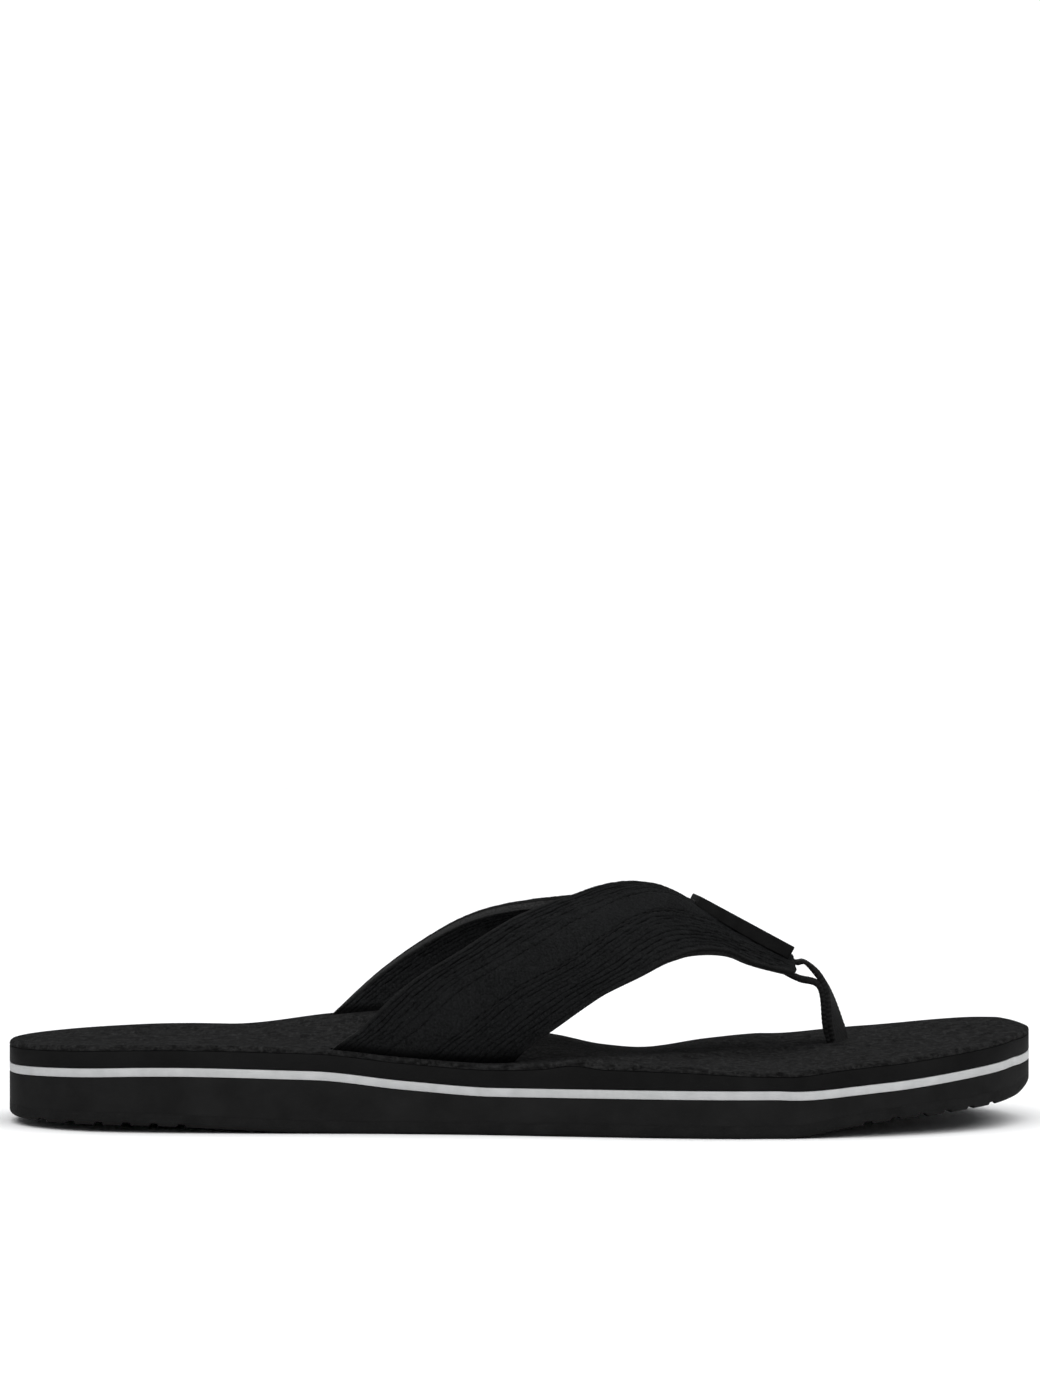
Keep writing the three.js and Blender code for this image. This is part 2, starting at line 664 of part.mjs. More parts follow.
// How far below the badge's underside the lining lies.
function depthBelowBadge(along, across) {
  const origin = badge.localToWorld(vec(along, across, 0));
  const down = badge.localToWorld(vec(along, across, -1)).sub(origin);
  let depth = 0;
  for (let step = 0; step < 400; step += 1) {
    const point = origin.clone().addScaledVector(down, depth);
    const sideways = (point.y - formCentre(point.x)) / formHalfWidth(point.x);
    const surface = widestLine + formCrest(point.x) * Math.sqrt(Math.max(0, 1 - sideways ** 2));
    if (point.z < surface) break;
    depth += 0.05;
  }
  return depth;
}

function turned(points) {
  const geometry = new THREE.LatheGeometry(points.map(([r, z]) => new THREE.Vector2(r, z)), 14);
  geometry.rotateX(Math.PI / 2);
  geometry.deleteAttribute('normal');
  geometry.deleteAttribute('uv');
  return outward(mergeVertices(geometry, 1e-4));
}

const rivetPlaces = [['rear', -RIVET_SPACING / 2 - 0.5], ['front', RIVET_SPACING / 2 - 0.5]];
const rivets = rivetPlaces.map(([end, along]) => {
  const reach = WASHER_DIAMETER / 2;
  const depths = [[0, 0], [reach, 0], [-reach, 0], [0, reach], [0, -reach]].map(([dx, dy]) => (
    depthBelowBadge(along + dx, dy)));
  const washerTop = -Math.max(...depths) - WASHER_GAP;
  return { end, along, washerTop, headTop: washerTop - WASHER_THICKNESS - 0.1 };
});

const shankRadius = RIVET_DIAMETER / 2;
const boreRadius = shankRadius + RIVET_CLEARANCE;

function rivetBore(rivet) {
  const bore = turned([
    [0, rivet.headTop - 2], [boreRadius, rivet.headTop - 2],
    [boreRadius, RIVET_SOCKET_DEPTH], [0, RIVET_SOCKET_DEPTH],
  ]);
  bore.translate(rivet.along, 0, 0);
  return bore;
}

const worldBores = rivets.map((rivet) => toSolid(rivetBore(rivet).applyMatrix4(badge.matrixWorld)));

// ---------------------------------------------------------------- toe post
const tipAngle = (medialArm.back.getPoint(1).y + medialArm.front.getPoint(1).y) / 2;
const tipX = medialArm.back.getPoint(1).x;
const tip = offForm(tipX, tipAngle, upperTop(tipX));
const plyMeeting = tip.clone().add(vec(POST_FORWARD, 0, -POST_DROP));

const anchorX = alongSole(ANCHOR_X);
const bottomSlope = (midsoleBottom(anchorX + 4) - midsoleBottom(anchorX - 4)) / 8;
const anchorDown = vec(bottomSlope, 0, -1).normalize();
const halfPly = WEBBING_THICKNESS / 2;
const plyOffset = halfPly + PLY_GAP / 2;
const barHalf = ANCHOR_BAR / 2;
const plateHalf = ANCHOR_THICKNESS / 2;
const aroundBar = barHalf + 0.2 + halfPly;
const underBar = plateHalf + 0.3 + halfPly;
const anchorCentre = vec(anchorX, ANCHOR_Y, midsoleBottom(anchorX))
  .addScaledVector(anchorDown, -(underBar + halfPly + 0.3));

const postDown = anchorCentre.clone().sub(plyMeeting).normalize();
const postLength = anchorCentre.distanceTo(plyMeeting);
const squareTo = (direction, axis) => (
  direction.clone().addScaledVector(axis, -direction.dot(axis)).normalize());

// The webbing's width and thickness directions where it is a given distance below the meeting.
function webbingAxes(distance, down) {
  const flatWidth = squareTo(vec(0, 1, 0), down);
  const flatThick = flatWidth.clone().cross(down);
  const turn = radians(WEBBING_TWIST) * smooth(distance, 0, 0.5 * postLength);
  const width = flatWidth.clone().multiplyScalar(Math.cos(turn)).addScaledVector(flatThick, -Math.sin(turn));
  return { width, thick: width.clone().cross(down) };
}

const onPost = (distance, offset) => {
  const { width, thick } = webbingAxes(distance, postDown);
  const point = plyMeeting.clone().addScaledVector(postDown, distance).addScaledVector(thick, offset);
  return { point, width };
};
const inAnchor = (depth, offset) => {
  const { width, thick } = webbingAxes(postLength, anchorDown);
  const point = anchorCentre.clone().addScaledVector(anchorDown, depth).addScaledVector(thick, offset);
  return { point, width };
};
const onTip = (x, offset) => {
  const width = offForm(x, tipAngle + 0.05, offset).sub(offForm(x, tipAngle - 0.05, offset)).normalize();
  return { point: offForm(x, tipAngle, offset), width };
};

const webbingTopOffset = (x) => upperTop(x) + WEBBING_CLEARANCE + halfPly;
const webbingUnderOffset = -WEBBING_CLEARANCE - halfPly;
// The lower ply is sewn to the lining from just in front of the badge's front washer.
const frontWasherX = badgeX + Math.cos(badgePitch) * (RIVET_SPACING / 2);
const webbingUnderFrom = frontWasherX + WASHER_DIAMETER / 2 + WEBBING_CLEARANCE;
// The upper ply is sewn on the inner arm's tip, straight in front of the outer arm's end.
const webbingTopFrom = lateralArm.back.getPoint(1).x + WEBBING_CLEARANCE + halfPly;
// One ply from the meeting down to the bar; side is -1 for the front ply and 1 for the rear one.
const plyPath = (side) => [
  onPost(3, side * plyOffset),
  onPost(0.5 * postLength, side * plyOffset),
  onPost(PLIES_STRAIGHT_TO * postLength, side * plyOffset),
  inAnchor(-plateHalf - PLIES_PART_ABOVE, side * (plyOffset + 0.15)),
  inAnchor(-plateHalf, side * aroundBar),
  inAnchor(0.4, side * aroundBar),
  inAnchor(underBar - 0.35, side * (aroundBar - 0.25)),
  inAnchor(underBar, side * (aroundBar - 0.9)),
];

const webbingPath = [
  onTip(webbingTopFrom, webbingTopOffset(webbingTopFrom)),
  onTip(tipX, webbingTopOffset(tipX)),
  { point: tip.clone().add(vec(0.4 * POST_FORWARD, 0, 0.35 * POST_DROP)), width: onTip(tipX, 0).width },
  ...plyPath(-1),
  ...plyPath(1).reverse(),
  onTip(tipX + 2.5, 2 * webbingUnderOffset + 0.7),
  onTip(tipX - 1.5, webbingUnderOffset - 0.3),
  onTip((tipX - 1.5 + webbingUnderFrom) / 2, webbingUnderOffset),
  onTip(webbingUnderFrom, webbingUnderOffset),
];

function webbingGeometry() {
  const centre = new THREE.CatmullRomCurve3(webbingPath.map(({ point }) => point), false, 'centripetal');
  const widths = new THREE.CatmullRomCurve3(webbingPath.map(({ width }) => width), false, 'catmullrom', 0.5);
  const steps = (webbingPath.length - 1) * 3;
  const rings = range(0, 1, steps).map((t) => {
    const along = centre.getTangent(t);
    const width = squareTo(widths.getPoint(t), along);
    const thick = along.clone().cross(width);
    return [[-1, -1], [1, -1], [1, 1], [-1, 1]].map(([w, n]) => centre.getPoint(t)
      .addScaledVector(width, (w * WEBBING_WIDTH) / 2)
      .addScaledVector(thick, n * halfPly));
  });
  return loft(rings);
}

// The slot through the sole follows the two plies, wider where they part around the bar.
function postCutter() {
  const halfWide = WEBBING_WIDTH / 2 + WEBBING_CLEARANCE + 0.1;
  const narrow = plyOffset + halfPly + WEBBING_CLEARANCE;
  const wide = aroundBar + halfPly + WEBBING_CLEARANCE;
  const sections = [
    [onPost(SLOT_START * postLength, 0), postDown, narrow],
    [onPost(PLIES_STRAIGHT_TO * postLength, 0), postDown, narrow + 0.2],
    [inAnchor(-plateHalf - PLIES_PART_ABOVE, 0), anchorDown, narrow + 0.5],
    [inAnchor(-plateHalf - 1.2, 0), anchorDown, wide],
    [inAnchor(0, 0), anchorDown, wide],
  ];
  return toSolid(loft(sections.map(([{ point }, down, halfThick]) => {
    const { width, thick } = webbingAxes(postLength, down);
    return [[-1, -1], [1, -1], [1, 1], [-1, 1]].map(([w, n]) => point.clone()
      .addScaledVector(width, w * halfWide)
      .addScaledVector(thick, n * halfThick));
  })));
}

function discGeometry(radius, from, to) {
  const disc = new THREE.CylinderGeometry(radius, radius, to - from, 28);
  disc.rotateX(Math.PI / 2);
  disc.translate(0, 0, -(from + to) / 2);
  return disc;
}

// Local frame of the anchor: X across the bar, Y along it, Z up.
const anchorAxes = webbingAxes(postLength, anchorDown);
const anchorMatrix = new THREE.Matrix4()
  .makeBasis(anchorAxes.thick, anchorAxes.width.negate(), anchorDown.clone().negate())
  .setPosition(anchorCentre);

function anchorGeometry() {
  const slotOuter = aroundBar + halfPly + 0.25;
  const slots = [-1, 1].map((side) => {
    const slotLength = WEBBING_WIDTH + 2 * WEBBING_CLEARANCE;
    const slot = new THREE.BoxGeometry(slotOuter - barHalf, slotLength, ANCHOR_THICKNESS + 2);
    slot.translate((side * (slotOuter + barHalf)) / 2, 0, 0);
    return toSolid(slot);
  });
  return cut(discGeometry(ANCHOR_DIAMETER / 2, -plateHalf, plateHalf), slots);
}

const recess = toSolid(discGeometry(ANCHOR_DIAMETER / 2 + 0.3, -plateHalf - 0.2, plateHalf + 6)
  .applyMatrix4(anchorMatrix));

// ---------------------------------------------------------------- assemble: sole
const arms = [lateralArm, medialArm];
const strapCutters = arms.map((arm) => strapCutter(arm, SLOT_CLEARANCE));
const pocketCutters = arms.map((arm) => strapCutter(arm, POCKET_CLEARANCE));
const post = postCutter();

place('footbed_cover', cut(layer([
  level(coverBottom),
  level((x, across) => coverTop(x, across) - RIM_BEVEL),
  level(coverTop, RIM_BEVEL),
], CONTOUR_COLUMNS), [...strapCutters, post]), looks.cover);
const foamBlank = layer([level(foamBottom), level(foamTop)], CONTOUR_COLUMNS);
const stripeBlank = layer([level(stripeBottom), level(stripeTop)], EDGE_COLUMNS);
const midsoleBlank = layer([level(midsoleBottom), level(midsoleTop)], EDGE_COLUMNS);
place('footbed_foam', cut(foamBlank, [...strapCutters, post]), looks.foam);
place('stripe_layer', cut(stripeBlank, [...strapCutters, post]), looks.stripe);
place('midsole', cut(midsoleBlank, [...pocketCutters, post, recess]), looks.rubber);
place('outsole', cut(outsoleBlank, grooves), looks.rubber);

// ---------------------------------------------------------------- assemble: straps
for (const [name, arm] of [['lateral', lateralArm], ['medial', medialArm]]) {
  const whole = [...ROOT_STATIONS, ...ARM_STATIONS];
  const flat = () => 0;
  place(`${name}_strap_lining`, cut(strapLayer(arm, flat, liningTop, whole), worldBores), looks.lining);
  place(`${name}_strap_padding`, cut(strapLayer(arm, paddingBottom, paddingTop, paddingStations),
    worldBores), looks.padding);
  place(`${name}_strap_upper`, cut(strapLayer(arm, upperBottom, upperTop, whole), worldBores), looks.upper);
}

// ---------------------------------------------------------------- assemble: stitching
const threadSection = new THREE.Shape(range(0, 5, 5).map((i) => new THREE.Vector2(
  (THREAD_DIAMETER / 2) * Math.cos((i * Math.PI) / 3), (THREAD_DIAMETER / 2) * Math.sin((i * Math.PI) / 3))));

function stitching(arm, across, from, to) {
  const above = (x) => upperTop(x) + THREAD_DIAMETER / 2 + THREAD_GAP;
  const points = range(from, to, 22).map((station) => strapPoint(arm, station, across, above));
  const geometry = new THREE.ExtrudeGeometry(threadSection, {
    steps: 26, bevelEnabled: false, extrudePath: new THREE.CatmullRomCurve3(points),
  });
  geometry.deleteAttribute('normal');
  geometry.deleteAttribute('uv');
  return outward(mergeVertices(geometry, 1e-4));
}

place('lateral_strap_stitching_rear', stitching(lateralArm, 0.27, 0.03, 0.6), looks.thread);
place('lateral_strap_stitching_front', stitching(lateralArm, 0.56, 0.03, 0.6), looks.thread);
place('medial_strap_stitching_rear', stitching(medialArm, 0.27, 0.05, 0.42), looks.thread);
place('medial_strap_stitching_front', stitching(medialArm, 0.56, 0.05, 0.45), looks.thread);

// ---------------------------------------------------------------- assemble: toe post
place('toe_post_webbing', webbingGeometry(), looks.webbing);
place('toe_post_anchor', anchorGeometry(), looks.anchor).applyMatrix4(anchorMatrix);

// ---------------------------------------------------------------- assemble: badge
// The straps' stack under the badge with the gap over it, in the badge's own frame.
function badgeSeatCutter() {
  const reach = badgeHalf + 6;
  const seat = gridSolid(range(badgeX - reach, badgeX + reach, 14).map((x) => (
    range(radians(-55), radians(55), 16).map((angle) => (
      [offForm(x, angle, 0), offForm(x, angle, stackTop(x) + BADGE_GAP)])))));
  return toSolid(seat.applyMatrix4(badge.matrixWorld.clone().invert()));
}

function badgePlate() {
  const halfLength = BADGE_LENGTH / 2 - BADGE_EDGE;
  const halfWidth = BADGE_WIDTH / 2 - BADGE_EDGE;
  const shape = new THREE.Shape([[-1, -1], [1, -1], [1, 1], [-1, 1]].map(([x, y]) => (
    new THREE.Vector2(x * halfLength, y * halfWidth))));
  const plate = new THREE.ExtrudeGeometry(shape, {
    depth: BADGE_THICKNESS + BADGE_SKIRT - 2 * BADGE_EDGE,
    bevelThickness: BADGE_EDGE,
    bevelSize: BADGE_EDGE,
    bevelSegments: 1,
  });
  plate.translate(0, 0, BADGE_EDGE - BADGE_SKIRT);
  return cut(plate, [badgeSeatCutter(), ...rivets.map((rivet) => toSolid(rivetBore(rivet)))]);
}

const plate = new THREE.Mesh(badgePlate(), looks.badge);
plate.name = 'badge_plate';
badge.add(plate);
for (const rivet of rivets) {
  const headRadius = RIVET_HEAD_DIAMETER / 2;
  const shank = new THREE.Mesh(turned([
    [0, rivet.headTop - RIVET_HEAD_THICKNESS],
    [headRadius - 0.4, rivet.headTop - RIVET_HEAD_THICKNESS],
    [headRadius, rivet.headTop - RIVET_HEAD_THICKNESS / 2],
    [headRadius, rivet.headTop],
    [shankRadius, rivet.headTop],
    [shankRadius, RIVET_SOCKET_DEPTH - 0.2],
    [0, RIVET_SOCKET_DEPTH - 0.2],
  ]), looks.metal);
  shank.name = `badge_rivet_${rivet.end}`;
  shank.position.x = rivet.along;
  badge.add(shank);
  const washer = new THREE.Mesh(turned([
    [boreRadius, rivet.washerTop - WASHER_THICKNESS],
    [WASHER_DIAMETER / 2, rivet.washerTop - WASHER_THICKNESS],
    [WASHER_DIAMETER / 2, rivet.washerTop],
    [boreRadius, rivet.washerTop],
    [boreRadius, rivet.washerTop - WASHER_THICKNESS],
  ]), looks.metal);
  washer.name = `badge_washer_${rivet.end}`;
  washer.position.x = rivet.along;
  badge.add(washer);
}

// The origin is the middle of the bottom of the whole piece's box.
const extent = new THREE.Box3().setFromObject(flipFlop);
const middle = extent.getCenter(new THREE.Vector3());
flipFlop.position.set(-middle.x, -middle.y, -extent.min.z);

export default flipFlop;
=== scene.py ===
import math

import bmesh
import bpy
import numpy as np
from mathutils import Matrix, Vector, noise


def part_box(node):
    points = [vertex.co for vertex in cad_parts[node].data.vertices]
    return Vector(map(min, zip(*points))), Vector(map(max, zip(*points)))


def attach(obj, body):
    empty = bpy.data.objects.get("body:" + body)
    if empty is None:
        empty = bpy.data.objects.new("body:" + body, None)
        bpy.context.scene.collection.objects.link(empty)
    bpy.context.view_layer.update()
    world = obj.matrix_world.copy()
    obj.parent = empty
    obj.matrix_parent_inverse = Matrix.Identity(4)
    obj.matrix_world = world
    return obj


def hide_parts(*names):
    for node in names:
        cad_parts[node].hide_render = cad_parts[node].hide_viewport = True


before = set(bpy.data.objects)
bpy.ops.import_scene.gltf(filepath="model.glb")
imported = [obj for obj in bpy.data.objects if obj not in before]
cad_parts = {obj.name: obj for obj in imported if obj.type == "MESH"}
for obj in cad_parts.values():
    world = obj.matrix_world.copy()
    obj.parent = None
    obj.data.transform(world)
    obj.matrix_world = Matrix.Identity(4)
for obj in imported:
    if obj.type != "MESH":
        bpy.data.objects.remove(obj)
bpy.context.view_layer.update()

MM = 0.001

# ---------------------------------------------------------------- sizes of the sandal, mm
# The length and the sideways place come from the frame. The others repeat the design's own sizes.
SOLE_LOW, SOLE_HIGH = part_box("midsole")
SOLE_LENGTH = (SOLE_HIGH.x - SOLE_LOW.x) / MM
HEEL_WIDTH = 72
WAIST_WIDTH = 69
FOREFOOT_WIDTH = 103

HEEL_LIFT = 2
TOE_SPRING = 10.5
COVER_THICKNESS = 1.5
FOAM_THICKNESS = 4.6
STRIPE_THICKNESS = 2.4
OUTSOLE_THICKNESS = 3.5
MIDSOLE_HEEL_END = 8.6
MIDSOLE_HEEL = 11
MIDSOLE_BALL = 6.9
MIDSOLE_TOES = 3.7
GLUE_LINE = 0.1

ARCH_RISE = 8
BALL_HOLLOW = 2.8
HEEL_CUP = 2
TOE_RISE = 1.6
TOE_RIDGE = 0.9
RIM_HUMP = 0.7
RIM_RADIUS = 1.1

OUTSOLE_EDGE = 1.6
GROOVE_PITCH = 7.5
GROOVE_WIDTH = 2.4
GROOVE_DEPTH = 1
GROOVE_WAVE = 2.4
TREAD_OPEN_FROM = 0.31
TREAD_BORDER = 4
TREAD_SHARE = 0.95

STRAP_RISE = 36.5
STRAP_WIDEST_ABOVE_FOOTBED = 7.4
STRAP_LEVEL_SHARE = -0.1
INSTEP_WIDTH = 62
LINING_THICKNESS = 0.5
PADDING_THICKNESS = 1.5
UPPER_THICKNESS = 1.1
STRAP_OVERLAP_GAP = 0.55
BEND_RADIUS = 1.5
TAB_LENGTH = 12
TAB_GAP = 0.3
POCKET_CLEARANCE = 0.9
SLANT_DEPTH = 14
SLOT_TUCK = 2.8
SLOT_CLEARANCE = 0.3

WEBBING_WIDTH = 8
WEBBING_THICKNESS = 1.1
WEBBING_TWIST = 30
PLY_GAP = 0.4
PLIES_STRAIGHT_TO = 0.78
PLIES_PART_ABOVE = 2.4
SLOT_START = 0.42
WEBBING_CLEARANCE = 0.3
POST_FORWARD = 6.8
POST_DROP = 2.6
ANCHOR_THICKNESS = 1.6
ANCHOR_BAR = 2.4
ANCHOR_X = 0.328
ANCHOR_Y = 14.5
BAR_CLEARANCE = 0.2
RECESS_RADIUS = 7.3
WEBBING_UNDER_SHARE = 0.2515

BADGE_X = 0.2185
BADGE_LENGTH = 30.5
BADGE_WIDTH = 20
BADGE_THICKNESS = 1.7
BADGE_SKIRT = 2.2
BADGE_GAP = 0.3
BADGE_CORNER = 1.2
BADGE_EASE = 0.3


# ---------------------------------------------------------------- curves
def hermite(start, end, leaving, arriving, t):
    """A cubic from start to end with the slopes leaving and arriving; t runs from 0 to 1."""
    return (start * (2 * t**3 - 3 * t**2 + 1) + end * (3 * t**2 - 2 * t**3)
            + leaving * (t**3 - 2 * t**2 + t) + arriving * (t**3 - t**2))


def unit(vectors):
    return vectors / np.linalg.norm(vectors, axis=-1, keepdims=True)


def profile(points):
    """A smooth height along the sole through (share of length, height) points, with no overshoot."""
    share, value = np.array(points, float).T
    slopes = np.diff(value) / np.diff(share)
    before, after = slopes[:-1], slopes[1:]
    total = np.where(before * after > 0, before + after, 1)
    inner = np.where(before * after > 0, 2 * before * after / total, 0)
    tangents = np.concatenate([[slopes[0]], inner, [slopes[-1]]])

    def height(x):
        at = np.clip(np.asarray(x, float) / SOLE_LENGTH, share[0], share[-1])
        i = np.clip(np.searchsorted(share, at, side="right") - 1, 0, len(share) - 2)
        width = share[i + 1] - share[i]
        t = (at - share[i]) / width
        return hermite(value[i], value[i + 1], width * tangents[i], width * tangents[i + 1], t)

    return height


def smooth(value, start, end):
    t = np.clip((np.asarray(value, float) - start) / (end - start), 0, 1)
    return t * t * (3 - 2 * t)


def spline(points, at, closed=False):
    """Uniform Catmull-Rom curve through the points; at counts points from the first one."""
    points = np.asarray(points, float)
    at = np.asarray(at, float)
    count = len(points)
    if closed:
        i = np.floor(at).astype(int) % count
        p0, p1, p2, p3 = (points[(i + k) % count] for k in (-1, 0, 1, 2))
    else:
        ends = np.vstack([2 * points[0] - points[1], points, 2 * points[-1] - points[-2]])
        i = np.clip(np.floor(at).astype(int), 0, count - 2)
        p0, p1, p2, p3 = (ends[i + k] for k in range(4))
    t = (at - np.floor(at) if closed else at - i)[..., None]
    return hermite(p1, p2, 0.5 * (p2 - p0), 0.5 * (p3 - p1), t)


# ---------------------------------------------------------------- outline of the sole
# Share of the length from the middle, the width it belongs to, and that width's shares on the
# outer and the inner side of the centre line.
OUTLINE = [
    (-0.483, HEEL_WIDTH, 0.25, 0.222),
    (-0.431, HEEL_WIDTH, 0.43, 0.403),
    (-0.361, HEEL_WIDTH, 0.507, 0.472),
    (-0.257, HEEL_WIDTH, 0.528, 0.458),
    (-0.153, WAIST_WIDTH, 0.558, 0.435),
    (-0.049, WAIST_WIDTH, 0.594, 0.449),
    (0.056, FOREFOOT_WIDTH, 0.447, 0.369),
    (0.16, FOREFOOT_WIDTH, 0.49, 0.456),
    (0.229, FOREFOOT_WIDTH, 0.495, 0.495),
    (0.299, FOREFOOT_WIDTH, 0.476, 0.504),
    (0.368, FOREFOOT_WIDTH, 0.417, 0.471),
    (0.431, FOREFOOT_WIDTH, 0.32, 0.398),
    (0.472, FOREFOOT_WIDTH, 0.194, 0.272),
]
TOE_TIP_SHARE = 0.03
HALF_OUTLINE = len(OUTLINE) + 1
OUTLINE_POINTS = (
    [(-0.5 * SOLE_LENGTH, 0)]
    + [(at * SOLE_LENGTH, -outer * width) for at, width, outer, _ in OUTLINE]
    + [(0.5 * SOLE_LENGTH, TOE_TIP_SHARE * FOREFOOT_WIDTH)]
    + [(at * SOLE_LENGTH, inner * width) for at, width, _, inner in reversed(OUTLINE)]
)
OUTLINE_LOOP = spline(OUTLINE_POINTS, np.linspace(0, 2 * HALF_OUTLINE, 2000, endpoint=False), closed=True)
OUTLINE_MIDDLE = (OUTLINE_LOOP[:, 1].min() + OUTLINE_LOOP[:, 1].max()) / 2
SIDE_SHIFT = (SOLE_LOW.y + SOLE_HIGH.y) / (2 * MM) - OUTLINE_MIDDLE


def rim(station, side, inset=0.0):
    """Points of the outline, moved inward by inset; station runs from 0 at the heel to HALF_OUTLINE."""
    station = np.asarray(station, float)
    turn = station if side < 0 else (2 * HALF_OUTLINE - station) % (2 * HALF_OUTLINE)
    point = spline(OUTLINE_POINTS, turn, closed=True)
    ahead = spline(OUTLINE_POINTS, turn + 1e-3, closed=True)
    behind = spline(OUTLINE_POINTS, (turn - 1e-3) % (2 * HALF_OUTLINE), closed=True)
    along = unit(ahead - behind)
    inward = np.stack([-along[..., 1], along[..., 0]], axis=-1)
    return point + inward * inset


# ---------------------------------------------------------------- heights of the layers
ground_clearance = profile([
    (-0.5, HEEL_LIFT), (-0.38, HEEL_LIFT), (-0.17, 0), (0.25, 0), (0.313, 0.27 * TOE_SPRING),
    (0.347, 0.4 * TOE_SPRING), (0.434, 0.6 * TOE_SPRING), (0.48, 0.75 * TOE_SPRING), (0.5, TOE_SPRING),
])
midsole_thickness = profile([
    (-0.5, MIDSOLE_HEEL_END), (-0.43, 0.33 * MIDSOLE_HEEL + 0.65 * MIDSOLE_HEEL_END), (-0.2, MIDSOLE_HEEL),
    (-0.11, 0.4 * MIDSOLE_HEEL + 0.6 * MIDSOLE_BALL), (-0.02, MIDSOLE_BALL), (0.24, MIDSOLE_BALL),
    (0.31, 0.4 * MIDSOLE_BALL + 0.6 * MIDSOLE_TOES), (0.36, 1.17 * MIDSOLE_TOES),
    (0.43, 1.35 * MIDSOLE_TOES), (0.475, 1.42 * MIDSOLE_TOES), (0.5, 0.85 * MIDSOLE_TOES),
])
lateral_rim = profile([
    (-0.5, 0), (-0.03, 0), (0.05, RIM_HUMP), (0.15, 0.2 * RIM_HUMP), (0.24, -0.35 * BALL_HOLLOW), (0.3, 0),
])
medial_rim = profile([
    (-0.4, 0), (-0.295, 0), (-0.194, 0.49 * ARCH_RISE), (-0.104, ARCH_RISE), (0.035, 0.2 * ARCH_RISE),
    (0.085, -0.6 * BALL_HOLLOW), (0.125, -BALL_HOLLOW), (0.19, -0.25 * BALL_HOLLOW),
    (0.25, 0.4 * TOE_RISE), (0.45, TOE_RISE),
])
heel_cup = profile([(-0.47, 0), (-0.35, HEEL_CUP), (-0.2, 0)])


def outsole_bottom(x, across=None):
    return ground_clearance(x)


def outsole_top(x, across=None):
    return outsole_bottom(x) + OUTSOLE_THICKNESS


def midsole_bottom(x, across=None):
    return outsole_top(x) + GLUE_LINE


def midsole_top(x, across=None):
    return midsole_bottom(x) + midsole_thickness(x)


def stripe_bottom(x, across=None):
    return midsole_top(x) + GLUE_LINE


def stripe_top(x, across=None):
    return stripe_bottom(x) + STRIPE_THICKNESS


def foam_bottom(x, across=None):
    return stripe_top(x) + GLUE_LINE


def contour(x, across):
    """Height of the footbed above the level of the flat layers; across is 0 at the outer rim."""
    inner = smooth(across, 0.25, 1)
    bowl = 1 - (2 * across - 1) ** 2
    ridge_x = (0.05 + 0.33 * across) * SOLE_LENGTH
    ridge = TOE_RIDGE * (1 - smooth(np.abs(x - ridge_x), 0, 9)) * (1 - smooth(across, 0.6, 0.8))
    return lateral_rim(x) * (1 - inner) + medial_rim(x) * inner - heel_cup(x) * bowl + ridge


def foam_top(x, across):
    return foam_bottom(x) + FOAM_THICKNESS + contour(x, across)


def cover_bottom(x, across):
    return foam_top(x, across) + GLUE_LINE


def cover_top(x, across):
    return cover_bottom(x, across) + COVER_THICKNESS


# ---------------------------------------------------------------- the form the straps lie on
STRAP_LEVEL = float(foam_bottom(STRAP_LEVEL_SHARE * SOLE_LENGTH))
WIDEST_LINE = STRAP_LEVEL + FOAM_THICKNESS + COVER_THICKNESS + STRAP_WIDEST_ABOVE_FOOTBED
form_centre = profile([(-0.21, -5.5), (0, -5), (0.1, 2), (0.2, 11), (0.28, 14.5)])
form_half_width = profile([
    (-0.21, 0.48 * INSTEP_WIDTH), (0, 0.5 * INSTEP_WIDTH), (0.14, 0.5 * INSTEP_WIDTH),
    (0.21, 0.46 * INSTEP_WIDTH), (0.29, 0.37 * INSTEP_WIDTH),
])
form_crest = profile([
    (-0.21, STRAP_RISE), (-0.07, STRAP_RISE), (0.035, 0.932 * STRAP_RISE), (0.122, 0.872 * STRAP_RISE),
    (0.174, 0.684 * STRAP_RISE), (0.226, 0.53 * STRAP_RISE), (0.278, 0.318 * STRAP_RISE),
    (0.3, 0.22 * STRAP_RISE),
])


def on_form(x, angle):
    return np.stack(np.broadcast_arrays(
        x,
        form_centre(x) + form_half_width(x) * np.sin(angle),
        WIDEST_LINE + form_crest(x) * np.cos(angle),
    ), axis=-1).astype(float)


def form_normal(x, angle):
    along = on_form(x + 0.5, angle) - on_form(x - 0.5, angle)
    around = on_form(x, angle + 0.01) - on_form(x, angle - 0.01)
    return unit(np.cross(along, around))


def off_form(x, angle, offset):
    return on_form(x, angle) + form_normal(x, angle) * np.asarray(offset)[..., None]


# ---------------------------------------------------------------- strap arms
SKIVE_FROM, SKIVE_TO = 0.153 * SOLE_LENGTH, 0.24 * SOLE_LENGTH


def padding_at(x):
    return PADDING_THICKNESS * (1 - smooth(x, SKIVE_FROM, SKIVE_TO))


def lining_top(x):
    return LINING_THICKNESS + 0 * x


def padding_bottom(x):
    return lining_top(x) + GLUE_LINE


def padding_top(x):
    return padding_bottom(x) + padding_at(x)


def upper_bottom(x):
    return padding_top(x) + GLUE_LINE


def upper_top(x):
    return upper_bottom(x) + UPPER_THICKNESS


def edge(points):
    return [(share * SOLE_LENGTH, math.radians(degrees)) for share, degrees in points]


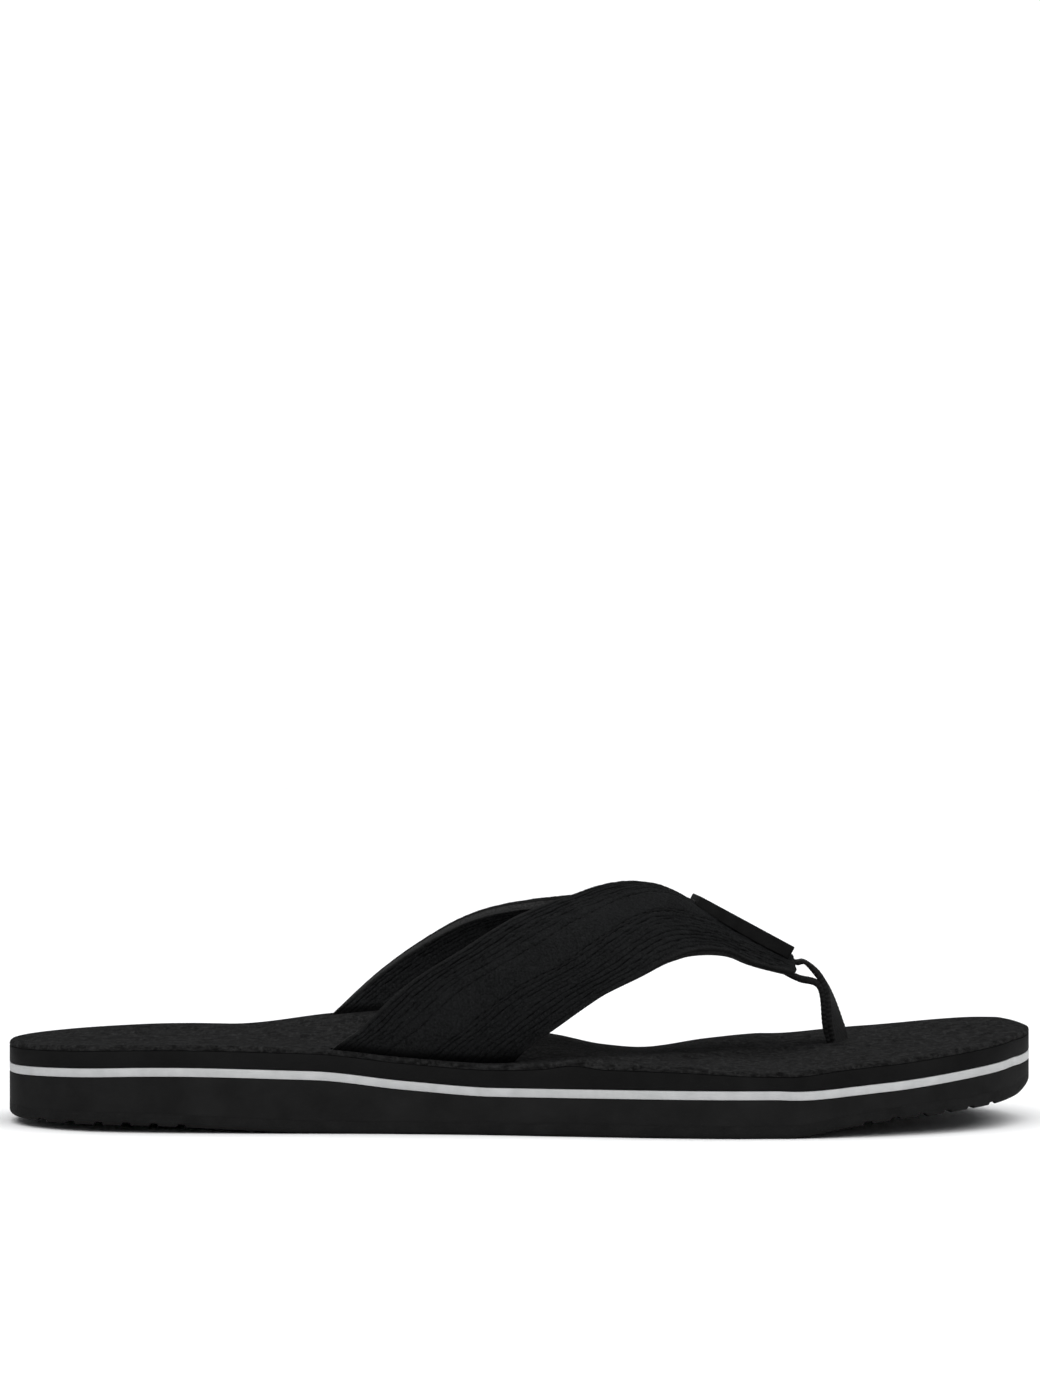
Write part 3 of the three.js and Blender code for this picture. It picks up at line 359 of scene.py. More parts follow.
LATERAL_ARM = {
    "name": "lateral", "side": -1, "rake": 1.6,
    "back": edge([(-0.155, -90), (-0.108, -71), (-0.052, -54), (0.007, -31), (0.059, -10), (0.111, -2),
                  (0.167, 9), (0.218, 11), (0.2635, 12)]),
    "front": edge([(0.028, -90), (0.072, -76), (0.119, -63.5), (0.146, -53), (0.17, -43), (0.198, -39.5),
                   (0.222, -42), (0.243, -41.5), (0.2635, -39)]),
}
MEDIAL_ARM = {
    "name": "medial", "side": 1, "rake": 0.9,
    "back": edge([(-0.186, 90), (-0.142, 72.5), (-0.094, 56), (-0.042, 40), (0.014, 26.5), (0.08, 12),
                  (0.145, -5), (0.21, -16), (0.27, -19)]),
    "front": edge([(-0.035, 90), (0.014, 82), (0.063, 71), (0.108, 58.5), (0.149, 45), (0.188, 33.5),
                   (0.218, 29), (0.245, 27), (0.27, 25.5)]),
}
LAST_EDGE_POINT = len(LATERAL_ARM["back"]) - 1
MEDIAL_BACK = spline(MEDIAL_ARM["back"], np.linspace(0, LAST_EDGE_POINT, 400))
CLIMB_START, CLIMB_END = 4, 20


def lift(arm, x, angle):
    """How far the outer arm stands off the form where it lies on the inner one."""
    if arm is MEDIAL_ARM:
        return 0 * x
    outside = (np.interp(x, MEDIAL_BACK[:, 0], MEDIAL_BACK[:, 1]) - angle) * form_half_width(x)
    return (upper_top(x) + STRAP_OVERLAP_GAP) * (1 - smooth(outside, CLIMB_START, CLIMB_END))


def slant(arm, drop):
    return arm["rake"] * SLANT_DEPTH * (1 - np.exp(-drop / SLANT_DEPTH))


def tab_top(x):
    return midsole_top(x) - TAB_GAP


def strap_points(arm, station, across, offset):
    """Points of a strap. station 0 to 1 runs up the arm to its tip, 0 to -1 drops into the sole,
    -1 to -2 is the fold and -2 to -3 the tab. offset gives the distance off the foot at x."""
    station, across = np.broadcast_arrays(np.asarray(station, float), np.asarray(across, float))
    along = np.clip(station, 0, 1) * LAST_EDGE_POINT
    share = across[..., None]
    start = spline(arm["back"], along) * (1 - share) + spline(arm["front"], along) * share
    x, angle = start[..., 0], start[..., 1]
    thick = offset(x)
    body = off_form(x, angle, thick + lift(arm, x, angle))
    quarter = math.radians(90 * arm["side"]) + 0 * x
    outwards = form_normal(x, quarter)
    rough = WIDEST_LINE - tab_top(x) - BEND_RADIUS
    drop = WIDEST_LINE - tab_top(x - slant(arm, rough)) - BEND_RADIUS
    down = np.clip(-station, 0, 1) * drop
    inner = on_form(x, quarter)
    inner[..., 0] -= slant(arm, down)
    inner[..., 1] -= arm["side"] * SLOT_TUCK * smooth(down / drop, 0, 0.75)
    inner[..., 2] -= down
    fold = np.clip(-station - 1, 0, 1) * (math.pi / 2)
    tab = np.clip(-station - 2, 0, None) * TAB_LENGTH
    radius = BEND_RADIUS + thick
    sideways = np.where(station >= -1, thick, radius * np.cos(fold) - BEND_RADIUS - tab)
    root = inner + outwards * sideways[..., None]
    root[..., 2] -= np.where(station >= -1, 0, radius * np.sin(fold))
    return np.where((station >= 0)[..., None], body, root)


# ---------------------------------------------------------------- making meshes
def to_world(points):
    points = np.asarray(points, float).reshape(-1, 3).copy()
    points[:, 1] += SIDE_SHIFT
    return points * MM


def add_object(name, data):
    item = bpy.data.objects.new(name, data)
    bpy.context.collection.objects.link(item)
    return item


def add_piece(name, mesh, material, replaced):
    piece = add_object(name, mesh)
    mesh.materials.clear()
    mesh.materials.append(material)
    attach(piece, "root")
    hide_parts(*replaced)
    return piece


def finish_mesh(mesh, sharp_degrees=35):
    """Merges doubled points, turns the faces outward and shades the mesh smooth between sharp edges."""
    work = bmesh.new()
    work.from_mesh(mesh)
    bmesh.ops.remove_doubles(work, verts=work.verts, dist=2e-7)
    bmesh.ops.dissolve_degenerate(work, edges=work.edges, dist=1e-8)
    bmesh.ops.recalc_face_normals(work, faces=work.faces)
    work.to_mesh(mesh)
    work.free()
    mesh.shade_smooth()
    mesh.set_sharp_from_angle(angle=math.radians(sharp_degrees))
    return mesh


def make_mesh(name, points, faces, sharp_degrees=35, marks=None):
    """marks holds named values from 0 to 1 for each point, which the materials read."""
    mesh = bpy.data.meshes.new(name)
    mesh.from_pydata(to_world(points).tolist(), [], faces)
    for mark, values in (marks or {}).items():
        attribute = mesh.attributes.new(mark, "FLOAT", "POINT")
        attribute.data.foreach_set("value", np.ravel(values).astype(np.float32))
    return finish_mesh(mesh, sharp_degrees)


def grid_faces(rows, columns, first=0, flip=False):
    i, j = np.meshgrid(np.arange(rows - 1), np.arange(columns - 1), indexing="ij")
    a = first + i * columns + j
    quads = np.stack([a, a + columns, a + columns + 1, a + 1], axis=-1).reshape(-1, 4)
    return (quads[:, ::-1] if flip else quads).tolist()


def bridge_faces(loop_a, loop_b):
    count = len(loop_a)
    return [[loop_a[k], loop_a[(k + 1) % count], loop_b[(k + 1) % count], loop_b[k]]
            for k in range(count)]


def tube_faces(first, rings, sides):
    """Faces of a closed tube whose points run ring by ring from the first one."""
    last = first + sides * (rings - 1)
    faces = []
    for k in range(first, last, sides):
        faces += bridge_faces(list(range(k, k + sides)), list(range(k + sides, k + 2 * sides)))
    return [*faces, list(range(first, first + sides))[::-1], list(range(last, last + sides))]


def grid_border(rows, columns, first=0):
    """Indices round a grid of points, in order."""
    grid = first + np.arange(rows * columns).reshape(rows, columns)
    return np.concatenate([grid[:-1, 0], grid[-1, :-1], grid[:0:-1, -1], grid[0, :0:-1]]).tolist()


def grid_solid(name, bottom, top, sharp_degrees=35, marks=None):
    """A closed solid between two grids of points of the same shape; marks are for the points of both."""
    rows, columns = bottom.shape[:2]
    count = rows * columns
    faces = grid_faces(rows, columns, 0, flip=True) + grid_faces(rows, columns, count)
    faces += bridge_faces(grid_border(rows, columns), grid_border(rows, columns, count))
    points = np.concatenate([bottom.reshape(-1, 3), top.reshape(-1, 3)])
    doubled = {mark: np.concatenate([np.ravel(values)] * 2)
               for mark, values in (marks or {}).items()}
    return make_mesh(name, points, faces, sharp_degrees, doubled)


def cut_mesh(mesh, cutters):
    """Subtracts closed meshes from a closed mesh."""
    body = add_object("cut_body", mesh)
    tools = []
    for cutter in cutters:
        tool = add_object("cut_tool", cutter)
        tools.append(tool)
        modifier = body.modifiers.new("cut", "BOOLEAN")
        modifier.operation = "DIFFERENCE"
        modifier.solver = "MANIFOLD"
        modifier.object = tool
    graph = bpy.context.evaluated_depsgraph_get()
    result = bpy.data.meshes.new_from_object(body.evaluated_get(graph))
    for item in [body, *tools]:
        bpy.data.objects.remove(item)
    result.name = mesh.name
    return result


# ---------------------------------------------------------------- materials
class Nodes:
    """Short helpers for building one material's node tree."""

    def __init__(self, name, roughness, sheen=0.0, specular=0.5, metallic=0.0):
        self.material = bpy.data.materials.new(name)
        self.material.use_nodes = True
        self.tree = self.material.node_tree
        self.shader = self.tree.nodes["Principled BSDF"]
        self.shader.inputs["Roughness"].default_value = roughness
        self.shader.inputs["Metallic"].default_value = metallic
        self.shader.inputs["Specular IOR Level"].default_value = specular
        self.shader.inputs["Sheen Weight"].default_value = sheen
        self.shader.inputs["Sheen Roughness"].default_value = 0.5
        self.shader.inputs["Sheen Tint"].default_value = (0.35, 0.36, 0.37, 1)
        self.place = self.add("ShaderNodeTexCoord").outputs["Object"]

    def add(self, kind, **settings):
        node = self.tree.nodes.new(kind)
        for key, value in settings.items():
            setattr(node, key, value)
        return node

    def link(self, source, target):
        self.tree.links.new(source, target)

    def noise(self, cell_mm, detail, roughness=0.6, stretch=(1, 1, 1)):
        place = self.add("ShaderNodeMapping")
        place.inputs["Scale"].default_value = tuple(s / (cell_mm * MM) for s in stretch)
        self.link(self.place, place.inputs["Vector"])
        node = self.add("ShaderNodeTexNoise")
        node.inputs["Scale"].default_value = 1.0
        node.inputs["Detail"].default_value = detail
        node.inputs["Roughness"].default_value = roughness
        self.link(place.outputs["Vector"], node.inputs["Vector"])
        return node.outputs["Fac"]

    def spread(self, source, low, high):
        node = self.add("ShaderNodeMapRange")
        node.inputs["From Min"].default_value = low
        node.inputs["From Max"].default_value = high
        self.link(source, node.inputs["Value"])
        return node.outputs["Result"]

    def blend(self, factor, low, high):
        node = self.add("ShaderNodeMix", data_type="RGBA")
        if isinstance(factor, float):
            node.inputs["Factor"].default_value = factor
        else:
            self.link(factor, node.inputs["Factor"])
        for value, socket in ((low, node.inputs[6]), (high, node.inputs[7])):
            if isinstance(value, tuple):
                socket.default_value = (*value, 1)
            else:
                self.link(value, socket)
        return node.outputs[2]

    def math(self, operation, a, b=0.0):
        node = self.add("ShaderNodeMath", operation=operation)
        for value, socket in ((a, node.inputs[0]), (b, node.inputs[1])):
            if isinstance(value, (int, float)):
                socket.default_value = value
            else:
                self.link(value, socket)
        return node.outputs[0]

    def colour(self, source):
        self.link(source, self.shader.inputs["Base Color"])

    def mottle(self, low, high, cell_mm, detail, stretch=(1, 1, 1)):
        """Colours the surface between two tones in soft patches."""
        patches = self.spread(self.noise(cell_mm, detail, stretch=stretch), 0.3, 0.7)
        self.colour(self.blend(patches, low, high))

    def bump(self, height, depth_mm):
        node = self.add("ShaderNodeBump")
        node.inputs["Strength"].default_value = 1.0
        node.inputs["Distance"].default_value = depth_mm * MM
        self.link(height, node.inputs["Height"])
        self.link(node.outputs["Normal"], self.shader.inputs["Normal"])


def mark(nodes, name):
    return nodes.add("ShaderNodeAttribute", attribute_name=name).outputs["Fac"]


def grey(value, tint=0.0):
    """A neutral linear colour, cooler with a positive tint."""
    return (value * (1 - tint), value, value * (1 + tint))


def cover_material():
    """Brushed microfibre: short strokes of nap in mixed directions over a soft mottling."""
    m = Nodes("footbed_microfibre", 0.95, sheen=0.02, specular=0.015)
    strokes = m.math("MAXIMUM", m.noise(1.3, 3, 0.7, stretch=(1, 0.35, 1)),
                     m.noise(1.3, 3, 0.7, stretch=(0.35, 1, 1)))
    mottle = m.noise(9, 3, 0.55)
    tone = m.blend(m.spread(strokes, 0.44, 0.7), grey(0.003), grey(0.027))
    m.colour(m.blend(m.spread(mottle, 0.3, 0.72), tone, m.blend(0.35, tone, grey(0.02))))
    fuzz = m.math("ADD", m.math("MULTIPLY", strokes, 0.7), m.math("MULTIPLY", m.noise(0.35, 2), 0.5))
    m.bump(fuzz, 0.8)
    return m.material


def foam_material(name, value):
    """Smooth-skinned EVA: fine closed pores and faint tone changes."""
    m = Nodes(name, 0.62, specular=0.02)
    mottle = m.noise(14, 4, 0.6)
    pores = m.noise(0.5, 2)
    m.colour(m.blend(m.spread(mottle, 0.35, 0.7), grey(value * 0.85), grey(value * 1.25)))
    m.bump(m.math("ADD", m.math("MULTIPLY", pores, 0.5), m.noise(3, 3)), 0.06)
    return m.material


def stripe_material():
    m = Nodes("stripe_eva", 0.68, specular=0.2)
    m.mottle((0.42, 0.425, 0.425), (0.5, 0.505, 0.505), 5, 4)
    m.bump(m.math("ADD", m.math("MULTIPLY", m.noise(0.5, 2), 0.6), m.noise(2.5, 3)), 0.08)
    return m.material


def rubber_material():
    m = Nodes("outsole_rubber", 0.72, specular=0.03)
    m.mottle(grey(0.009), grey(0.013), 6, 4)
    m.bump(m.math("ADD", m.noise(0.7, 3), m.noise(3, 3)), 0.1)
    return m.material


def textile_material(name, value, sheen):
    """Napped ribbed textile of the straps."""
    m = Nodes(name, 0.92, sheen=sheen, specular=0.04)
    nap = m.noise(0.55, 3, 0.65)
    patches = m.noise(7, 3)
    tone = m.blend(m.spread(nap, 0.35, 0.7), grey(value * 0.4, 0.03), grey(value * 1.75, 0.03))
    mottled = m.blend(m.spread(patches, 0.35, 0.7), tone, m.blend(0.3, tone, grey(value * 1.9, 0.03)))
    # Painted highlight: the strap's colour is lighter within about 1.6 mm of its edges, where light
    # catches the rounded edge.
    edge_highlighted = m.blend(m.math("MULTIPLY", mark(m, "edge"), 0.35), mottled, grey(value * 2.4, -0.02))
    # Painted shade: the strap's colour is darkened over its lowest few mm above the footbed, standing in
    # for the contact shadow where it enters the slot.
    shaded = m.blend(m.math("MULTIPLY", mark(m, "root"), 0.85), edge_highlighted, grey(value * 0.1))
    broken = m.spread(m.noise(2.6, 3, 0.75), 0.4, 0.52)
    line = m.math("MULTIPLY", m.math("MULTIPLY", mark(m, "line"), 0.95), broken)
    lined = m.blend(line, shaded, grey(value * 0.1))
    pills = m.math("MULTIPLY", m.spread(m.noise(0.9, 4, 0.75), 0.62, 0.74), 0.5)
    m.colour(m.blend(pills, lined, grey(value * 2.4, 0.02)))
    m.bump(m.math("ADD", m.math("MULTIPLY", nap, 0.9), m.math("MULTIPLY", m.noise(0.22, 2), 0.5)), 0.4)
    return m.material


def open_foam_material():
    m = Nodes("strap_foam", 0.95, specular=0.15)
    m.mottle(grey(0.012), grey(0.035), 0.6, 3)
    m.bump(m.noise(0.5, 3), 0.4)
    return m.material


def thread_material():
    m = Nodes("stitch_thread", 0.6, specular=0.1)
    m.mottle(grey(0.003), grey(0.008), 0.3, 2, stretch=(1, 4, 1))
    m.bump(m.noise(0.25, 2), 0.08)
    return m.material


def webbing_material():
    m = Nodes("webbing_nylon", 0.7, sheen=0.04, specular=0.1)
    m.mottle(grey(0.005), grey(0.018), 0.5, 3)
    m.bump(m.noise(0.3, 3), 0.12)
    return m.material


def plastic_material(name, value, roughness):
    m = Nodes(name, roughness, specular=0.03)
    m.mottle(grey(value * 0.8), grey(value * 1.3), 4, 4)
    m.bump(m.math("ADD", m.noise(0.4, 3), m.noise(2, 2)), 0.02)
    return m.material


def metal_material():
    m = Nodes("black_nickel", 0.4, metallic=1.0)
    m.mottle(grey(0.03), grey(0.06), 1.5, 4)
    m.bump(m.noise(0.3, 3), 0.01)
    return m.material


COVER = cover_material()
FOAM = foam_material("footbed_eva", 0.0078)
MIDSOLE = foam_material("midsole_eva", 0.0112)
STRIPE = stripe_material()
RUBBER = rubber_material()
UPPER = textile_material("strap_textile", 0.0078, 0.02)
LINING = textile_material("strap_lining", 0.02, 0.02)
PADDING = open_foam_material()
THREAD = thread_material()
WEBBING = webbing_material()
ANCHOR = plastic_material("anchor_plastic", 0.01, 0.45)
BADGE = plastic_material("badge_black", 0.0075, 0.6)
NICKEL = metal_material()

# ---------------------------------------------------------------- sole layers
SHARES = np.linspace(0, 1, 241)
SOLE_STATIONS = HALF_OUTLINE * (SHARES - 0.035 * np.sin(2 * np.pi * SHARES))
SOLE_COLUMNS = 0.5 - 0.5 * np.cos(np.pi * (0.12 + 0.76 * np.linspace(0, 1, 61)))
SOLE_COLUMNS = (SOLE_COLUMNS - SOLE_COLUMNS[0]) / (SOLE_COLUMNS[-1] - SOLE_COLUMNS[0])
FLAT_COLUMNS = 9  # columns of a layer that is level from rim to rim
MICRO = 0.22  # rounding where two layers meet
END_FADE = 0.9  # outline stations over which the contour evens out towards the heel and toe ends


def layer_grid(height, inset, columns):
    """Points of one level of a layer, from the outer rim to the inner one."""
    outer = rim(SOLE_STATIONS, -1, inset)[:, None, :]
    inner = rim(SOLE_STATIONS, 1, inset)[:, None, :]
    flat = outer + (inner - outer) * columns[None, :, None]
    spread = smooth(SOLE_STATIONS, 0, END_FADE) * smooth(HALF_OUTLINE - SOLE_STATIONS, 0, END_FADE)
    across = 0.5 + (columns[None, :] - 0.5) * spread[:, None]
    return np.dstack([flat, height(flat[..., 0], across)])


def layer_mesh(name, levels, columns=SOLE_COLUMNS):
    """A closed layer of the sole. levels run from its underside up: (height function, inset, rise)."""
    grids = [layer_grid(lambda x, a, h=height, r=rise: h(x, a) + r, inset, columns)
             for height, inset, rise in levels]
    rows, count = len(SOLE_STATIONS), len(columns)
    size = rows * count
    border = grid_border(rows, count)
    points = [grids[0].reshape(-1, 3), grids[-1].reshape(-1, 3)]
    faces = grid_faces(rows, count, 0, flip=True) + grid_faces(rows, count, size)
    last = border
    first = 2 * size
    for grid in grids[1:-1]:
        points.append(grid.reshape(-1, 3)[border])
        loop = list(range(first, first + len(border)))
        faces += bridge_faces(last, loop)
        last = loop
        first += len(border)
    faces += bridge_faces(last, [k + size for k in border])
    return make_mesh(name, np.concatenate(points), faces)


def slot_cutter(arm, inner_clearance):
    stations = np.concatenate([[-3.04, -2.5], np.linspace(-2, -1, 9), np.linspace(-0.9, 0, 8),
                               [0.03, 0.06, 0.1]])
    columns = np.linspace(-0.012, 1.012, 40)
    station, across = np.meshgrid(stations, columns, indexing="ij")
    inside = strap_points(arm, station, across, lambda x: -inner_clearance + 0 * x)
    outside = strap_points(arm, station, across, lambda x: upper_top(x) + SLOT_CLEARANCE)
    return grid_solid("slot_cutter", inside, outside)


def rounded(height, radius, top, steps):
    """Levels that round an edge; top is 1 for an upper edge and -1 for a lower one."""
    turns = np.linspace(0, math.pi / 2, steps)
    levels = [(height, radius * (1 - math.cos(t)), -top * radius * (1 - math.sin(t)))
              for t in turns]
    return levels if top > 0 else levels[::-1]


def eased(bottom, top, top_radius=MICRO, top_steps=3):
    """Levels of a layer with both its edges rounded."""
    return rounded(bottom, MICRO, -1, 3) + rounded(top, top_radius, 1, top_steps)


def build_sole():
    slots = [slot_cutter(arm, SLOT_CLEARANCE) for arm in (LATERAL_ARM, MEDIAL_ARM)]
    pockets = [slot_cutter(arm, POCKET_CLEARANCE) for arm in (LATERAL_ARM, MEDIAL_ARM)]
    post = post_cutter()
    few = np.linspace(0, 1, FLAT_COLUMNS)
    cover = layer_mesh("footbed_cover", eased(cover_bottom, cover_top, RIM_RADIUS, 5))
    foam = layer_mesh("footbed_foam", eased(foam_bottom, foam_top))
    stripe = layer_mesh("stripe_layer", eased(stripe_bottom, stripe_top), few)
    middle = layer_mesh("midsole", [(midsole_bottom, 0, 0)] + rounded(midsole_top, MICRO, 1, 3), few)
    add_piece("footbed_cover_nap", cut_mesh(cover, [*slots, post]), COVER, ["footbed_cover"])
    add_piece("footbed_foam_skin", cut_mesh(foam, [*slots, post]), FOAM, ["footbed_foam"])
    add_piece("stripe_layer_skin", cut_mesh(stripe, [*slots, post]), STRIPE, ["stripe_layer"])
    add_piece("midsole_skin", cut_mesh(middle, [*pockets, post, recess_cutter()]), MIDSOLE,
              ["midsole"])


# ---------------------------------------------------------------- toe post
TIP_X = MEDIAL_ARM["back"][-1][0]
TIP_ANGLE = (MEDIAL_ARM["back"][-1][1] + MEDIAL_ARM["front"][-1][1]) / 2
TIP = off_form(np.array(TIP_X), np.array(TIP_ANGLE), upper_top(np.array(TIP_X)))
PLY_MEETING = TIP + np.array([POST_FORWARD, 0, -POST_DROP])
ANCHOR_AT = ANCHOR_X * SOLE_LENGTH
BOTTOM_SLOPE = float(midsole_bottom(ANCHOR_AT + 4) - midsole_bottom(ANCHOR_AT - 4)) / 8
HALF_PLY = WEBBING_THICKNESS / 2
PLY_OFFSET = HALF_PLY + PLY_GAP / 2
WEBBING_UNDER_FROM = WEBBING_UNDER_SHARE * SOLE_LENGTH
BAR_HALF = ANCHOR_BAR / 2
PLATE_HALF = ANCHOR_THICKNESS / 2
AROUND_BAR = BAR_HALF + BAR_CLEARANCE + HALF_PLY
UNDER_BAR = PLATE_HALF + WEBBING_CLEARANCE + HALF_PLY


def square_to(direction, axis):
    return unit(direction - axis * np.dot(direction, axis))


ANCHOR_DOWN = unit(np.array([BOTTOM_SLOPE, 0, -1]))
ANCHOR_CENTRE = (np.array([ANCHOR_AT, ANCHOR_Y, float(midsole_bottom(ANCHOR_AT))])
                 - ANCHOR_DOWN * (UNDER_BAR + HALF_PLY + WEBBING_CLEARANCE))
POST_DOWN = unit(ANCHOR_CENTRE - PLY_MEETING)
POST_LENGTH = float(np.linalg.norm(ANCHOR_CENTRE - PLY_MEETING))


def webbing_axes(distance, down):
    flat_width = square_to(np.array([0.0, 1, 0]), down)
    flat_thick = np.cross(flat_width, down)
    turn = math.radians(WEBBING_TWIST) * float(smooth(distance, 0, 0.5 * POST_LENGTH))
    width = flat_width * math.cos(turn) - flat_thick * math.sin(turn)
    return width, np.cross(width, down)


def on_post(distance, offset):
    width, thick = webbing_axes(distance, POST_DOWN)
    return PLY_MEETING + POST_DOWN * distance + thick * offset, width


def in_anchor(depth, offset):
    width, thick = webbing_axes(POST_LENGTH, ANCHOR_DOWN)
    return ANCHOR_CENTRE + ANCHOR_DOWN * depth + thick * offset, width


def on_tip(x, offset):
    x = np.array(float(x))
    step = off_form(x, TIP_ANGLE + 0.05, offset) - off_form(x, TIP_ANGLE - 0.05, offset)
    return off_form(x, np.array(TIP_ANGLE), offset), unit(step)


def stack_top(x):
    return upper_top(x) * 2 + STRAP_OVERLAP_GAP


def ply_path(side):
    """One ply from where the two meet down to the bar; side is -1 for the front one."""
    return [
        *[on_post(distance, side * PLY_OFFSET)
          for distance in (3, 0.5 * POST_LENGTH, PLIES_STRAIGHT_TO * POST_LENGTH)],
        in_anchor(-PLATE_HALF - PLIES_PART_ABOVE, side * (PLY_OFFSET + 0.15)),
        in_anchor(-PLATE_HALF, side * AROUND_BAR),
        in_anchor(0.4, side * AROUND_BAR),
        in_anchor(UNDER_BAR - 0.35, side * (AROUND_BAR - 0.25)),
        in_anchor(UNDER_BAR, side * (AROUND_BAR - 0.9)),
    ]


def webbing_path():
    above = WEBBING_CLEARANCE + HALF_PLY
    top_from = LATERAL_ARM["back"][-1][0] + above
    ahead = np.array([0.4 * POST_FORWARD, 0, 0.35 * POST_DROP])
    return [
        on_tip(top_from, float(upper_top(np.array(top_from))) + above),
        on_tip(TIP_X, float(upper_top(np.array(TIP_X))) + above),
        (TIP + ahead, on_tip(TIP_X, 0)[1]),
        *ply_path(-1),
        *ply_path(1)[::-1],
        on_tip(TIP_X + 2.5, 0.7 - 2 * above),
        on_tip(TIP_X - 1.5, -above - 0.3),
        on_tip((TIP_X - 1.5 + WEBBING_UNDER_FROM) / 2, -above),
        on_tip(WEBBING_UNDER_FROM, -above),
    ]


def centripetal(points, at):
    """Centripetal Catmull-Rom curve; at counts points from the first one."""
    points = np.asarray(points, float)
    ends = np.vstack([2 * points[0] - points[1], points, 2 * points[-1] - points[-2]])
    found = []
    for value in np.atleast_1d(at):
        i = min(int(value), len(points) - 2)
        p0, p1, p2, p3 = ends[i:i + 4]
        d0, d1, d2 = (np.linalg.norm(b - a) ** 0.5 for a, b in ((p0, p1), (p1, p2), (p2, p3)))
        t1 = ((p1 - p0) / d0 - (p2 - p0) / (d0 + d1) + (p2 - p1) / d1) * d1
        t2 = ((p2 - p1) / d1 - (p3 - p1) / (d1 + d2) + (p3 - p2) / d2) * d1
        found.append(hermite(p1, p2, t1, t2, value - i))
    return np.array(found)


def post_cutter():
    half_wide = WEBBING_WIDTH / 2 + WEBBING_CLEARANCE + 0.1
    narrow = PLY_OFFSET + HALF_PLY + WEBBING_CLEARANCE
    wide = AROUND_BAR + HALF_PLY + WEBBING_CLEARANCE
    sections = [
        (on_post(SLOT_START * POST_LENGTH, 0)[0], POST_DOWN, narrow),
        (on_post(PLIES_STRAIGHT_TO * POST_LENGTH, 0)[0], POST_DOWN, narrow + 0.2),
        (in_anchor(-PLATE_HALF - PLIES_PART_ABOVE, 0)[0], ANCHOR_DOWN, narrow + 0.5),
        (in_anchor(-PLATE_HALF - 1.2, 0)[0], ANCHOR_DOWN, wide),
        (in_anchor(0, 0)[0], ANCHOR_DOWN, wide),
    ]
    rings = []
    for centre, down, half in sections:
        width, thick = webbing_axes(POST_LENGTH, down)
        rings.append([centre + width * w * half_wide + thick * n * half
                      for w, n in ((-1, -1), (1, -1), (1, 1), (-1, 1))])
    return make_mesh("post_cutter", np.array(rings), tube_faces(0, len(rings), 4))


def recess_cutter():
    width, thick = webbing_axes(POST_LENGTH, ANCHOR_DOWN)
    turns = np.linspace(0, 2 * np.pi, 48, endpoint=False)
    circle = (np.outer(np.cos(turns), width) + np.outer(np.sin(turns), thick)) * RECESS_RADIUS
    rings = [ANCHOR_CENTRE + ANCHOR_DOWN * depth + circle
             for depth in (-PLATE_HALF - BAR_CLEARANCE, PLATE_HALF + 6)]
    return make_mesh("recess_cutter", np.concatenate(rings), tube_faces(0, 2, len(turns)))


FREE_RIBBON_HEIGHT = 32  # middle of the ribbon's free run above the ground, mm
RIBBON_FULLNESS = 0.28  # the free ribbon is this much fuller on each face than where it is sewn
RIBBON_STEP = 0.25  # spacing of the points along the ribbon
RIB_PITCH = 1.3
RIB_HEIGHT = 0.09


def build_webbing():
    path = webbing_path()
    centres = np.array([point for point, _ in path])
    widths = np.array([width for _, width in path])
    last = len(path) - 1
    dense = np.linspace(0, last, 900)
    line = centripetal(centres, dense)
    length = np.concatenate([[0], np.cumsum(np.linalg.norm(np.diff(line, axis=0), axis=1))])
    at = np.interp(np.arange(0, length[-1], RIBBON_STEP), length, dense)
    middle = centripetal(centres, at)
    tangent = unit(np.gradient(middle, axis=0))
    width = spline(widths, at)
    width = unit(width - tangent * np.sum(width * tangent, axis=1, keepdims=True))
    thick = np.cross(tangent, width)
    across = np.linspace(-1, 1, 29)
    weave = np.sin(2 * np.pi * np.arange(len(at)) * RIBBON_STEP / RIB_PITCH)[:, None]
    # Raised ribs across the ribbon, offset on alternate cords, and a firm selvedge.
    cord = np.cos(np.pi * across * 6)[None, :]
    rib = weave * np.sign(cord) * np.abs(cord) ** 0.6 * RIB_HEIGHT
    away = np.abs(across)
    selvedge = (0.12 * smooth(away, 0.8, 0.9) - 0.25 * smooth(away, 0.93, 1))[None, :]
    free = smooth(np.abs(middle[:, 2] - FREE_RIBBON_HEIGHT), 12, 8)[:, None]
    half = HALF_PLY - 0.02 + rib + selvedge + RIBBON_FULLNESS * free
    wobble = 0.08 * weave * smooth(away, 0.85, 1)[None, :]
    reach = across[None, :] * WEBBING_WIDTH / 2 + wobble * np.sign(across)
    side = reach[..., None] * width[:, None, :]
    top = middle[:, None, :] + side + half[..., None] * thick[:, None, :]
    bottom = middle[:, None, :] + side - half[..., None] * thick[:, None, :]
    mesh = grid_solid("toe_post_webbing", bottom, top, 60)
    add_piece("toe_post_ribbon", mesh, WEBBING, ["toe_post_webbing"])


# ---------------------------------------------------------------- straps
REAR_LINES = (0.035, 0.07, 0.105, 0.145, 0.185, 0.225, 0.3)
FRONT_LINES = (0.545, 0.575, 0.625, 0.66, 0.7, 0.74, 0.785, 0.83, 0.875, 0.915, 0.955)
STITCHED_LINES = (0.145, 0.3, 0.545, 0.575, 0.7)
LINE_DEPTH = 0.42
LINE_WIDTH = 0.3
PANEL_MIDDLE, PANEL_HALF, PANEL_PUFF = 0.42, 0.115, 0.3  # shares across the strap, and mm
STITCH_PITCH, STITCH_LENGTH, THREAD_RADIUS = 2.8, 2.2, 0.17
ARM_ROWS = 300


